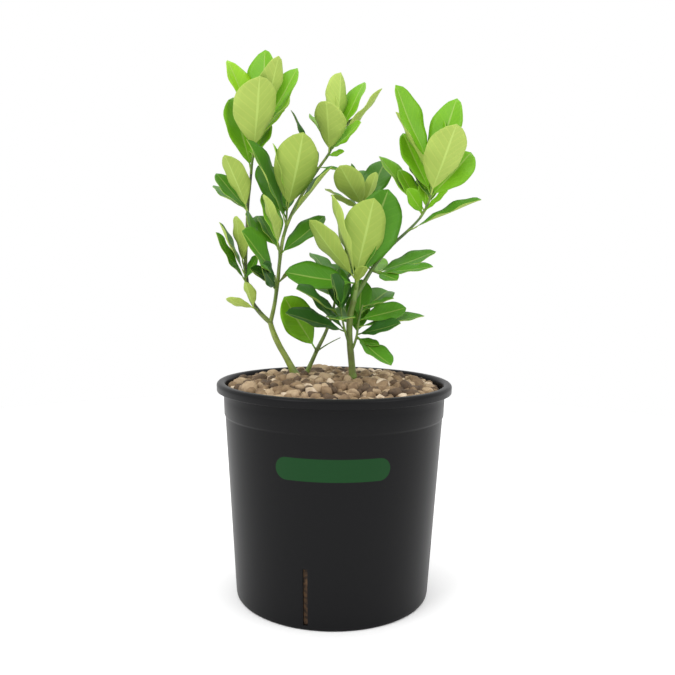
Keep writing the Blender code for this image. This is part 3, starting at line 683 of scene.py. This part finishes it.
def leaf_grid(leaf, rng):
    """Upper corners, lower corners and UV of one leaf.

    Half its width at share u of the blade is sin(pi u^1.24)^0.62. The blade rises to both sides
    of the midrib by its fold, and its edge waves by a sine of u.
    """
    rest = np.linspace(0.0, 1.0, ALONG - STALK_ROWS + 1)[1:] ** 0.9
    share = np.concatenate((np.linspace(0.0, PETIOLE, STALK_ROWS), PETIOLE + (1 - PETIOLE) * rest))
    blade = np.clip((share - PETIOLE) / (1.0 - PETIOLE), 0.0, 1.0)
    half = np.maximum(leaf["width"] / 2 * half_width(blade), PETIOLE_WIDTH / 2)
    half[-1] = TIP_WIDTH
    across = np.cross(leaf["heading"], leaf["normal"])
    length = leaf["length"]
    arch = leaf["arch"] * 4.0 * share * (1.0 - share) - SAG * np.sin(math.pi * blade) ** 2
    middle = leaf["root"] + leaf["heading"] * (length * share)[:, None]
    middle = middle + leaf["normal"] * (arch * length)[:, None]
    wave = WAVE_HEIGHT * length * np.sin(blade * WAVE_PACE + rng.uniform(0, WAVE_STARTS))
    open_out = np.clip(blade * 4.0, 0.0, 1.0)
    lift = np.abs(SIDE)[None, :] ** 1.15 * half[:, None] * math.tan(math.radians(leaf["fold"]))
    twist = np.sign(SIDE)[None, :] * np.abs(SIDE)[None, :] ** 2
    lift = lift * open_out[:, None] + (wave * open_out * np.sin(math.pi * blade))[:, None] * twist
    points = middle[:, None, :] + across * (half[:, None] * SIDE)[:, :, None]
    points = points + leaf["normal"] * lift[:, :, None]
    thick = np.where(share < PETIOLE, PETIOLE_WIDTH * 0.9, BLADE)[:, None]
    thick = thick * (0.75 + 0.25 * (1.0 - np.abs(SIDE)[None, :]))
    aside = 0.5 + 0.5 * SIDE * (half / half.max())[:, None]
    uv = np.stack((np.broadcast_to(blade[:, None], lift.shape), aside), axis=2)
    drop = leaf["normal"] * thick[:, :, None]
    return points, points - drop, uv


print("one leaf has", 2 * ALONG * ACROSS, "corners")

# %% [markdown]
# The two grids and the strip round their edge make a closed shell. A closed shell has an inside
# and an outside, which a single sheet hasn't, so its thickness is real. The faces next to the
# midrib take the rib's colour, above and below.

# %% The shell of a leaf
UPPER, UNDER, RIB, LOW_RIB = range(4)   # places of the materials


def leaf_faces():
    """Faces of the shell and their materials: upper grid, lower grid turned over, edge strip."""
    top = grid_faces(ALONG, ACROSS, False)
    count = ALONG * ACROSS
    low = top[:, ::-1] + count
    rim = np.concatenate((np.arange(0, count, ACROSS),
                          np.arange(count - ACROSS + 1, count),
                          np.arange(count - 1 - ACROSS, 0, -ACROSS),
                          np.arange(ACROSS - 2, 0, -1)))
    after = np.roll(rim, -1)
    edge = np.stack((rim, after, after + count, rim + count), axis=1)
    column = np.tile(np.arange(ACROSS - 1), ALONG - 1)
    middle = ACROSS // 2
    ribbed = (column == middle - 1) | (column == middle)
    slots = np.concatenate((np.where(ribbed, RIB, UPPER), np.where(ribbed, LOW_RIB, UNDER),
                            np.full(len(edge), UNDER)))
    return np.concatenate((top, low, edge)), slots


FACES, SLOTS = leaf_faces()
print("one leaf has", len(FACES), "faces")

# %% [markdown]
# Each shoot has a tone from 0, deep, to 3, bright, and its leaves grow brighter towards its tip.
# All the leaves of one tone are a single piece, because more than a hundred objects would be
# slow to handle.

# %% Leaves
SHOOT_TONES = {
    "leaves_top_left": 2.1, "leaves_left_upper": 0.9, "leaves_left_lower": 0.7,
    "leaves_left_foot": 1.4, "leaves_inner_low": 0.4, "leaves_inner_middle": 1.0,
    "leaves_inner_top": 0.9, "leaves_inner_upper": 0.6, "leaves_top_middle": 2.0,
    "leaves_centre_top": 0.9, "leaves_centre": 1.05, "leaves_right_middle": 1.0,
    "leaves_centre_low": 0.2, "leaves_right_low": 0.9, "leaves_middle_low": 2.0,
    "leaves_middle_top": 1.0, "leaves_top_right": 1.9, "leaf_right": 0.9,
}
TONE_ORDER = ("deep", "full", "fresh", "bright")

rng = random.Random(3)
groups = {tone: [] for tone in TONES}
for name, group in LEAVES.items():
    for leaf in group:
        score = SHOOT_TONES[name] + 0.9 * (leaf["share"] - 0.5) + rng.uniform(-0.35, 0.35)
        groups[TONE_ORDER[int(min(max(score + 0.5, 0), 3))]].append(leaf)
LEAF_PIECES = []
for tone, group in groups.items():
    if not group:
        continue
    grids = [leaf_grid(leaf, rng) for leaf in group]
    corners = np.concatenate([np.concatenate((top, low)).reshape(-1, 3) for top, low, uv in grids])
    uv = np.concatenate([np.concatenate((uv, uv)).reshape(-1, 2) for top, low, uv in grids])
    faces = np.concatenate([FACES + 2 * ALONG * ACROSS * index for index in range(len(group))])
    piece = make_piece("leaves_" + tone, corners, faces, FINISHES[tone],
                       np.tile(SLOTS, len(group)), uv)
    LEAF_PIECES.append(piece)
    print("leaves", tone, len(group), "faces", len(faces))

# %% [markdown]
# Green bark is smooth with faint ridges and small scars. A limb could be a curve with a bevel,
# but a tube of rings lets the radius vary round the limb as well as along it. It is uneven by a
# few hundredths, so that the light breaks along it.

# %% Tubes of bark
SIDES = 18                  # corners of one ring
TUBE_STEP = 0.001           # distance between rings


def full_path(limb, start):
    """The whole walk of a limb or twig from its bearer's middle, not cut back for clearance."""
    return walk(start, limb["length"], limb["lean"], limb["fore"], TUBE_STEP)


def bark_tube(path, radii, seed):
    """Rings of an uneven tube: radius times one plus a small sum of sines round and along it."""
    heading = np.gradient(path, axis=0)
    heading /= np.linalg.norm(heading, axis=1)[:, None]
    side = np.cross((0.0, 1.0, 0.0), heading)
    side /= np.linalg.norm(side, axis=1)[:, None]
    front = np.cross(heading, side)
    angle = np.arange(SIDES) * math.tau / SIDES
    along = np.linspace(0.0, len(path) * TUBE_STEP, len(path))[:, None]
    uneven = 0.035 * np.sin(3 * angle[None, :] + seed + 40 * along)
    uneven = uneven + 0.03 * np.sin(180 * along + seed)
    uneven = uneven + 0.025 * np.sin(5 * angle[None, :] - 230 * along)
    radius = radii[:, None] * (1.0 + uneven)
    ring = np.cos(angle)[None, :, None] * side[:, None, :]
    ring = ring + np.sin(angle)[None, :, None] * front[:, None, :]
    return path[:, None, :] + radius[:, :, None] * ring


def join_tubes(name, tubes, finish):
    """One piece from several tubes. Each tube is closed by drawing both its ends to points."""
    corners = []
    faces = []
    base = 0
    for grid in tubes:
        foot = np.repeat(grid[:1].mean(axis=1, keepdims=True), SIDES, axis=1)
        tip = np.repeat(grid[-1:].mean(axis=1, keepdims=True), SIDES, axis=1)
        corners.append(np.concatenate((foot, grid, tip)).reshape(-1, 3))
        faces.append(grid_faces(len(grid) + 2, SIDES, True) + base)
        base += len(corners[-1])
    return make_piece(name, np.concatenate(corners), np.concatenate(faces), [finish])


print("a ring of bark has", SIDES, "corners")

# %% [markdown]
# A stem goes a little way into the gravel, and each bough starts inside the limb that bears it.
# That makes the fork look grown together, without cutting one mesh into another. Every limb has
# two colours of bark: a lighter green, and the darker one of its shaded or older parts.

# %% Stems and boughs
STEM_SINK = 0.004           # how deep a stem stands in the gravel
BOUGH_ROOT = 0.002          # how far a bough reaches back into its bearer
BARK = {
    "stem_left": ((0.255, 0.330, 0.055), (0.150, 0.200, 0.040)),
    "stem_middle": ((0.150, 0.215, 0.040), (0.085, 0.125, 0.030)),
    "stem_right": ((0.150, 0.235, 0.040), (0.120, 0.130, 0.035)),
    "bough_left": ((0.170, 0.230, 0.050), (0.035, 0.045, 0.020)),
    "bough_inner": ((0.220, 0.300, 0.055), (0.120, 0.170, 0.035)),
    "bough_centre": ((0.160, 0.260, 0.040), (0.100, 0.170, 0.030)),
    "bough_right": ((0.110, 0.190, 0.030), (0.060, 0.110, 0.025)),
}
for index, (name, limb) in enumerate(LIMBS.items()):
    if "at" in limb:
        path = full_path(limb, np.array((*limb["at"], GROUND - STEM_SINK)))
        path = path + (LIMB_PATHS[name][0][-1] - path[-1])
        path[0, 2] = GROUND - STEM_SINK
    else:
        path = full_path(limb, LIMB_PATHS[limb["on"]][0][-1])
        path = np.concatenate((path[:1] - BOUGH_ROOT * unit(path[1] - path[0]), path))
    tube = bark_tube(path, limb_radii(limb, path), index * 1.7)
    light, dark = BARK[name]
    finish = finish_of("bark_" + name, light, 0.5, second=dark, scale=90.0, bump=0.35)
    piece = join_tubes("bark_" + name, [tube], finish)
    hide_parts(name)
    print(piece.name, "rings", len(path))

# %% [markdown]
# The short twigs that carry the leaves are all one piece, since they share one bark. One more
# twig, low on the middle stem, has lost its leaves and is a bare, very thin spike.

# %% Twigs
BARE_TWIG = dict(length=0.030, lean=(48, 58, 66), fore=(20, 8, 0))
BARE_AT = 0.33              # share of the way up the middle stem

middle_stem = LIMB_PATHS["stem_middle"][0]
bare = full_path(BARE_TWIG, middle_stem[round(BARE_AT * (len(middle_stem) - 1))])
twig_tubes = [bark_tube(bare, np.linspace(0.0008, 0.0004, len(bare)), 0.7)]
for index, (name, shoot) in enumerate(SHOOTS.items()):
    parent = LIMB_PATHS[shoot["on"]][0]
    path = full_path(shoot, parent[round(shoot["at"] * (len(parent) - 1))])
    radii = TWIG_RADIUS * np.linspace(1.15, 0.65, len(path))
    twig_tubes.append(bark_tube(path, radii, index * 2.3))
twig_finish = finish_of("twig_bark", (0.170, 0.270, 0.040), 0.5,
                        second=(0.090, 0.150, 0.030), scale=120.0)
twigs = join_tubes("twigs", twig_tubes, twig_finish)
for piece in LEAF_PIECES + [twigs]:
    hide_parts(*SHOOTS)
print("twigs", len(twig_tubes))

# %% [markdown]
# The gravel lies in the pot as a low mound, so it needs the pot's inner wall to end at. The wall
# leans outwards, steps out under the band and leans on to the rim.

# %% The inside of the pot


def inner_radius(height):
    """Radius of the pot's inner wall at a height."""
    step_top = BAND_FOOT
    step_foot = BAND_FOOT - STEP_HEIGHT
    if height >= step_top:
        share = (height - step_top) / (RIM_TOP - step_top)
        return BAND_FOOT_RADIUS - WALL + share * (BAND_TOP_RADIUS - BAND_FOOT_RADIUS)
    upper = BAND_FOOT_RADIUS - STEP_DEPTH - WALL
    if height >= step_foot:
        share = (height - step_foot) / STEP_HEIGHT
        return upper + share * STEP_DEPTH
    share = (height - FLOOR) / (step_foot - FLOOR)
    return FOOT_RADIUS - WALL + share * (upper - FOOT_RADIUS + WALL)


def mound(radius):
    """Height of the gravel mound at a distance from the pot's axis."""
    edge = inner_radius(GRAVEL_EDGE) - GAP
    return GRAVEL_EDGE + GRAVEL_RISE * (1.0 - (radius / edge) ** 4)


print("gravel from", GRAVEL_EDGE, "to", GRAVEL_EDGE + GRAVEL_RISE, "high")

# %% [markdown]
# A pebble is a ball that has been squashed, given a few flats, turned and dropped. A flat is
# made by drawing in every corner that reaches too far along one of nine directions. Simulated
# falling stones would lie more truly, but a spiral by the golden angle covers the mound evenly
# and is the same in each run.

# %% Shapes of the stones
STONES = 680
STONE_SIZE = (0.0036, 0.0068)
BIG_SHARE, BIG = 0.12, 1.3  # this share of the stones is that much bigger
SINK = 0.0042               # how far a stone's middle lies under the mound
FLAT = 0.70                 # distance of a flat from the middle, in radii


def ball(rows=9, columns=13):
    """Corners and faces of a small ball, whose end rings are points."""
    tilt = np.linspace(0.0, math.pi, rows)
    turn = np.arange(columns) * math.tau / columns
    points = np.stack((np.outer(np.sin(tilt), np.cos(turn)), np.outer(np.sin(tilt), np.sin(turn)),
                       np.outer(np.cos(tilt), np.ones(columns))), axis=2).reshape(-1, 3)
    return points, grid_faces(rows, columns, True)[:, ::-1]


stone_rng = np.random.default_rng(8)
edge = inner_radius(GRAVEL_EDGE) - GAP
golden = math.pi * (3.0 - math.sqrt(5.0))
order = np.arange(STONES)
size = stone_rng.uniform(*STONE_SIZE, STONES)
size = size * np.where(stone_rng.random(STONES) < BIG_SHARE, BIG, 1.0)
reach = np.minimum(edge * np.sqrt((order + 0.5) / STONES), edge - size * 1.55)
turn = order * golden + stone_rng.uniform(-0.03, 0.03, STONES)
rise = mound(reach) - SINK + stone_rng.uniform(-0.0022, 0.0034, STONES)
centres = np.stack((reach * np.cos(turn), reach * np.sin(turn), rise), axis=1)
ball_points, ball_faces = ball()
stretch = stone_rng.uniform(0.80, 1.45, (STONES, 1, 3)) * np.array((1.05, 1.0, 0.86))
flat_ways = stone_rng.normal(size=(STONES, 9, 3))
flat_ways /= np.linalg.norm(flat_ways, axis=2)[:, :, None]
along_ways = np.einsum("pk,sfk->spf", ball_points, flat_ways)
flatten = np.minimum(1.0, FLAT / np.maximum(along_ways.max(axis=2), 0.05))
shapes = ball_points[None] * flatten[:, :, None] * stretch * size[:, None, None]
spin = stone_rng.uniform(0.0, math.tau, STONES)
tilt = stone_rng.uniform(-0.5, 0.5, STONES)
x = shapes[:, :, 0] * np.cos(tilt)[:, None] + shapes[:, :, 2] * np.sin(tilt)[:, None]
z = shapes[:, :, 2] * np.cos(tilt)[:, None] - shapes[:, :, 0] * np.sin(tilt)[:, None]
y = shapes[:, :, 1]
shapes = np.stack((x * np.cos(spin)[:, None] - y * np.sin(spin)[:, None],
                   x * np.sin(spin)[:, None] + y * np.cos(spin)[:, None], z), axis=2)
STONE_CORNERS = shapes + centres[:, None, :]
print("stones", STONES, "of", len(ball_faces), "faces")

# %% [markdown]
# River gravel is a mix of browns with a few pale stones. The stones of one colour are one piece,
# and each piece blends two shades of it, so that no two neighbours look the same.

# %% Gravel
STONE_TONES = (((0.260, 0.175, 0.095), (0.150, 0.095, 0.050)),
               ((0.420, 0.310, 0.190), (0.280, 0.195, 0.115)),
               ((0.110, 0.068, 0.036), (0.060, 0.038, 0.022)),
               ((0.600, 0.490, 0.360), (0.420, 0.320, 0.210)))
STONE_SHARES = (0.42, 0.25, 0.25, 0.08)

kinds = stone_rng.choice(4, STONES, p=STONE_SHARES)
for kind, (first, second) in enumerate(STONE_TONES):
    chosen = STONE_CORNERS[kinds == kind]
    starts = len(ball_points) * np.arange(len(chosen))
    faces = (ball_faces[None] + starts[:, None, None]).reshape(-1, 4)
    finish = finish_of("stone_%d" % kind, first, 0.85, second=second, scale=160.0, bump=0.5)
    piece = make_piece("gravel_%d" % kind, chosen.reshape(-1, 3), faces, [finish])
    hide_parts("gravel")
    print("stones of tone", kind, len(chosen))

# %% [markdown]
# Between the stones the eye falls into shade. A closed disc under them, shaped like the mound and
# dark with painted shade, stops the view there and costs far less than more layers of stones.

# %% The bed under the stones
BED_RINGS = 24
BED_STEPS = 72
BED_DEPTH = 0.0065          # of its top under the mound
BED_FOOT = 0.1886           # height of its underside

rings = np.linspace(0.0, edge - 0.0002, BED_RINGS)
angle = np.arange(BED_STEPS) * math.tau / BED_STEPS
bed = np.stack((np.outer(rings, np.cos(angle)), np.outer(rings, np.sin(angle)),
                np.outer(mound(rings) - BED_DEPTH, np.ones(BED_STEPS))), axis=2)
floor_ring = bed[-1:].copy()
floor_ring[:, :, 2] = BED_FOOT
centre_ring = floor_ring * np.array((0.0, 0.0, 1.0))
bed = np.concatenate((bed, floor_ring, centre_ring)).reshape(-1, 3)
bed_faces = grid_faces(BED_RINGS + 2, BED_STEPS, True)[:, ::-1]
# Painted shade: the bed's dark browns stand for the deeper stones in shadow between the top ones.
painted_shade_finish = finish_of("bed", (0.050, 0.030, 0.018), 0.95,
                       second=(0.090, 0.055, 0.035), scale=200.0)
painted_shade_bed = make_piece("gravel_bed", bed, bed_faces, [painted_shade_finish])
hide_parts("gravel")
print("bed faces", len(bed_faces))

# %% [markdown]
# Nursery pots are black plastic with a soft shine. This one has a plain green bar on its front.
# The bar is no picture but a mask worked out from the place on the pot: its bearing from the
# front and its height give the distance to a pill with round ends.

# %% The pot's plastic and its bar
PLASTIC = (0.0050, 0.0050, 0.0056)
BAR_GREEN = (0.006, 0.042, 0.010)
BAR_HALF_ANGLE = 28.5       # degrees to each side of the front
BAR_LOW = 0.1377
BAR_HIGH = 0.1583
BAR_RADIUS = 0.1045         # of the wall behind the bar


def pot_finish():
    """Black satin plastic with a green bar: one inside a pill drawn round the pot's front."""
    finish = finish_of("pot_plastic", PLASTIC, 0.36)
    tree = finish.node_tree
    shader = tree.nodes["Principled BSDF"]
    shader.inputs["Specular IOR Level"].default_value = 0.11
    place = tree.nodes.new("ShaderNodeTexCoord")
    split = tree.nodes.new("ShaderNodeSeparateXYZ")
    tree.links.new(place.outputs["Object"], split.inputs["Vector"])
    x, y, z = (split.outputs[axis] for axis in "XYZ")
    bearing = math_node(tree, "ARCTAN2", x, math_node(tree, "MULTIPLY", y, -1.0))
    around = math_node(tree, "MULTIPLY", bearing, BAR_RADIUS)
    half = (BAR_HIGH - BAR_LOW) / 2
    straight = math.radians(BAR_HALF_ANGLE) * BAR_RADIUS - half
    past = math_node(tree, "SUBTRACT", math_node(tree, "ABSOLUTE", around), straight)
    past = math_node(tree, "MAXIMUM", past, 0.0)
    up = math_node(tree, "SUBTRACT", z, (BAR_HIGH + BAR_LOW) / 2)
    away = math_node(tree, "SQRT", math_node(tree, "ADD", math_node(tree, "MULTIPLY", past, past),
                                             math_node(tree, "MULTIPLY", up, up)))
    within = math_node(tree, "SUBTRACT", half, away)
    inside = math_node(tree, "MULTIPLY", within, 4000.0, clamp=True)
    mix = tree.nodes.new("ShaderNodeMix")
    mix.data_type = "RGBA"
    mix.inputs["A"].default_value = (*PLASTIC, 1.0)
    mix.inputs["B"].default_value = (*BAR_GREEN, 1.0)
    tree.links.new(inside, mix.inputs["Factor"])
    tree.links.new(mix.outputs["Result"], shader.inputs["Base Color"])
    grain = tree.nodes.new("ShaderNodeTexNoise")
    grain.inputs["Scale"].default_value = 900.0
    tree.links.new(place.outputs["Object"], grain.inputs["Vector"])
    relief = tree.nodes.new("ShaderNodeBump")
    relief.inputs["Strength"].default_value = 0.08
    relief.inputs["Distance"].default_value = 0.0002
    tree.links.new(grain.outputs["Fac"], relief.inputs["Height"])
    tree.links.new(relief.outputs["Normal"], shader.inputs["Normal"])
    return finish


print("bar", round(1000 * (BAR_HIGH - BAR_LOW), 1), "mm high")

# %% [markdown]
# A pot is round, so one outline turned about its axis makes all of it: the foot, the leaning
# wall, the small step, the band, the rolled lip and then the inside back to the middle. Blender's
# Screw modifier does the same; here the rings are worked out, so that the slits can be cut.

# %% The outline of the pot
SLIT_BOTTOM = 0.0048
SLIT_TOP = 0.0575


def arc(centre, radius, start, end, count=5):
    """Profile points along an arc, between two angles in degrees from straight out."""
    angles = np.radians(np.linspace(start, end, count))
    return [(centre[0] + radius * math.cos(a), centre[1] + radius * math.sin(a)) for a in angles]


def pot_profile():
    """The pot's outline in (radius, height), out along the foot, up the wall and back inside."""
    slope = (BAND_FOOT_RADIUS - STEP_DEPTH - FOOT_RADIUS) / (BAND_FOOT - STEP_HEIGHT)
    outer = [(FOOT_RADIUS + slope * z, z) for z in (SLIT_BOTTOM, SLIT_TOP)]
    upper = [(FOOT_RADIUS + slope * z, z) for z in (SLIT_TOP + 0.0008, 0.1000, 0.1500, 0.1780)]
    step = [(BAND_FOOT_RADIUS - STEP_DEPTH, 0.1787), (BAND_FOOT_RADIUS - 0.0003, 0.1799),
            (BAND_FOOT_RADIUS, 0.1806), (0.1084, 0.1950), (BAND_TOP_RADIUS, 0.2080)]
    lip = [(0.1092, 0.2089), (0.1128, 0.2089), (0.1132, 0.2083), (0.1133, 0.2036)]
    lip += arc((0.11425, 0.2036), 0.0009, 180, 360, 6)
    lip += [(0.1152, 0.2075)] + arc((0.1122, 0.2083), 0.0031, 0, 90, 6)
    lip += [(0.1110, 0.2115)] + arc((0.1100, 0.2083), 0.0031, 90, 170, 5)
    heights = (0.2040, 0.1900, BAND_FOOT, BAND_FOOT - STEP_HEIGHT, 0.1000, SLIT_TOP, SLIT_BOTTOM,
               FLOOR)
    inner = [(inner_radius(z), z) for z in heights]
    foot = [(0.0, 0.0), (0.0500, 0.0), (0.0800, 0.0)] + arc((0.0934, 0.0022), 0.0022, -90, 0, 5)
    foot += [(FOOT_RADIUS + slope * 0.0040, 0.0040)]
    return foot, outer, upper + step + lip, inner, [(0.0500, FLOOR), (0.0, FLOOR)]


print("the outline has", sum(len(part) for part in pot_profile()), "points")

# %% [markdown]
# Four slits at the foot let water out. Each is two columns of faces left out of the outer and
# the inner wall, with flat sides put in between them. This keeps the pot one closed shell,
# where a Boolean cut could leave thin slivers.

# %% Pot
POT_STEPS = 288             # columns round the pot
SLITS = 4
SLIT_FIRST = -103.7         # bearing of the first slit in degrees
SLIT_COLUMNS = 2


def make_pot_piece():
    """The pot as rings of corners, one to each profile point. Its slits run through the wall."""
    foot, outer, middle, inner, floor_in = pot_profile()
    profile = np.array(foot + outer + middle + inner + floor_in)
    step = math.tau / POT_STEPS
    angle = math.radians(SLIT_FIRST) + (np.arange(POT_STEPS) - 1) * step
    ring = np.stack((np.cos(angle), np.sin(angle)), axis=1)
    heights = np.broadcast_to(profile[:, None, 1:], (len(profile), POT_STEPS, 1))
    corners = np.concatenate((profile[:, None, :1] * ring[None], heights), axis=2)
    out_low = len(foot)
    in_high = len(foot) + len(outer) + len(middle) + len(inner) - 3     # where SLIT_TOP is
    faces = grid_faces(len(profile), POT_STEPS, True)
    row = faces[:, 0] // POT_STEPS
    column = faces[:, 0] % POT_STEPS
    in_slit = ((row == out_low) | (row == in_high)) & (column % (POT_STEPS // SLITS) < SLIT_COLUMNS)
    faces = faces[~in_slit]
    sides = []
    for first in range(0, POT_STEPS, POT_STEPS // SLITS):
        ol, oh = out_low * POT_STEPS + first, (out_low + 1) * POT_STEPS + first
        ih, il = in_high * POT_STEPS + first, (in_high + 1) * POT_STEPS + first
        w = SLIT_COLUMNS
        sides += [(ol, oh, ih, il), (ol + w, il + w, ih + w, oh + w)]
        for c in range(w):
            sides += [(ol + c, il + c, il + c + 1, ol + c + 1),
                      (oh + c, oh + c + 1, ih + c + 1, ih + c)]
    faces = np.concatenate((faces, np.array(sides)))
    smooth = np.arange(len(faces)) < len(faces) - len(sides)
    piece = make_piece("pot_shell", corners.reshape(-1, 3), faces, [pot_finish()], smooth=smooth)
    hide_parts("pot")
    return piece


pot_shell = make_pot_piece()
print("pot faces", len(pot_shell.data.polygons))

# %% [markdown]
# The root ball is hidden but for what the slits show: dark soil with a few pale roots. Its own
# solid from the frame is good enough, so it only gets a finish.

# %% Root ball
roots = finish_of("roots", (0.020, 0.012, 0.008), 0.95,
                  second=(0.120, 0.065, 0.030), scale=260.0, bump=0.9)
root_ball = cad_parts["growing_medium"]
root_ball.data.materials.clear()
root_ball.data.materials.append(roots)
print("root ball finished")

# %% [markdown]
# The photograph is a product shot: even light, a white ground and hardly any shadow. The ground
# is a plain white disc, wide enough that the camera sees no end to it.

# %% Floor
DISC_RADIUS = 1.2
DISC_STEPS = 96

floor_mesh = bpy.data.meshes.new("floor")
turns = [math.tau * k / DISC_STEPS for k in range(DISC_STEPS)]
ring = [(DISC_RADIUS * math.cos(turn), DISC_RADIUS * math.sin(turn), 0.0) for turn in turns]
floor_mesh.from_pydata(ring, [], [tuple(range(DISC_STEPS))])
floor_mesh.materials.append(finish_of("floor_white", (0.97, 0.97, 0.97), 0.9))
floor_plane = bpy.data.objects.new("floor", floor_mesh)
bpy.context.scene.collection.objects.link(floor_plane)
print("floor", 2 * DISC_RADIUS, "m across")

# %% [markdown]
# Large soft lamps stand left, right and above, and the world itself is white. The big sizes
# make the shadows soft, and the left lamp is the strongest so that the leaves keep some form.

# %% Light
AIM = (0, 0, 0.3)


def area_light(name, place, aim, size, power):
    """A square soft lamp at a place, turned to face a point."""
    lamp = bpy.data.lights.new(name, "AREA")
    lamp.size = size
    lamp.energy = power
    item = bpy.data.objects.new(name, lamp)
    bpy.context.scene.collection.objects.link(item)
    item.location = place
    away = np.array(place) - np.array(aim)
    flat = math.hypot(away[0], away[1])
    item.rotation_euler = (math.atan2(flat, away[2]), 0.0, math.atan2(away[0], -away[1]))
    return item


area_light("lamp_left", (-1.3, -1.2, 1.5), AIM, 1.2, 20.0)
area_light("lamp_right", (1.4, -0.9, 1.2), AIM, 1.2, 10.0)
area_light("lamp_top", (0.0, 0.3, 2.0), AIM, 1.5, 12.0)
world = bpy.data.worlds.new("studio")
world.use_nodes = True
world.node_tree.nodes["Background"].inputs["Color"].default_value = (1.0, 1.0, 1.0, 1.0)
world.node_tree.nodes["Background"].inputs["Strength"].default_value = 1.0
bpy.context.scene.world = world
bpy.context.scene.view_settings.view_transform = "Standard"
print("lamps", len(bpy.data.lights))

# %% [markdown]
# The camera has the place and the lens that put the pot's rim and foot where the photograph has
# them. It looks down a little and is rolled by less than a degree, as a camera in the hand is.

# %% Camera
CAMERA_PLACE = (0.0025, -0.7125, 0.3148)
CAMERA_PITCH = 4.87         # degrees down
CAMERA_ROLL = 0.74
CAMERA_LENS = 38.63         # millimetres, on a sensor 36 mm wide

camera_data = bpy.data.cameras.new("camera")
camera_data.lens = CAMERA_LENS
camera_data.sensor_width = 36.0
camera = bpy.data.objects.new("camera", camera_data)
bpy.context.scene.collection.objects.link(camera)
camera.location = CAMERA_PLACE
camera.rotation_mode = "XYZ"
camera.rotation_euler = (math.radians(90.0 - CAMERA_PITCH), 0.0, 0.0)
camera.rotation_euler.rotate_axis("Z", math.radians(CAMERA_ROLL))
bpy.context.scene.camera = camera
print("camera at", CAMERA_PLACE)
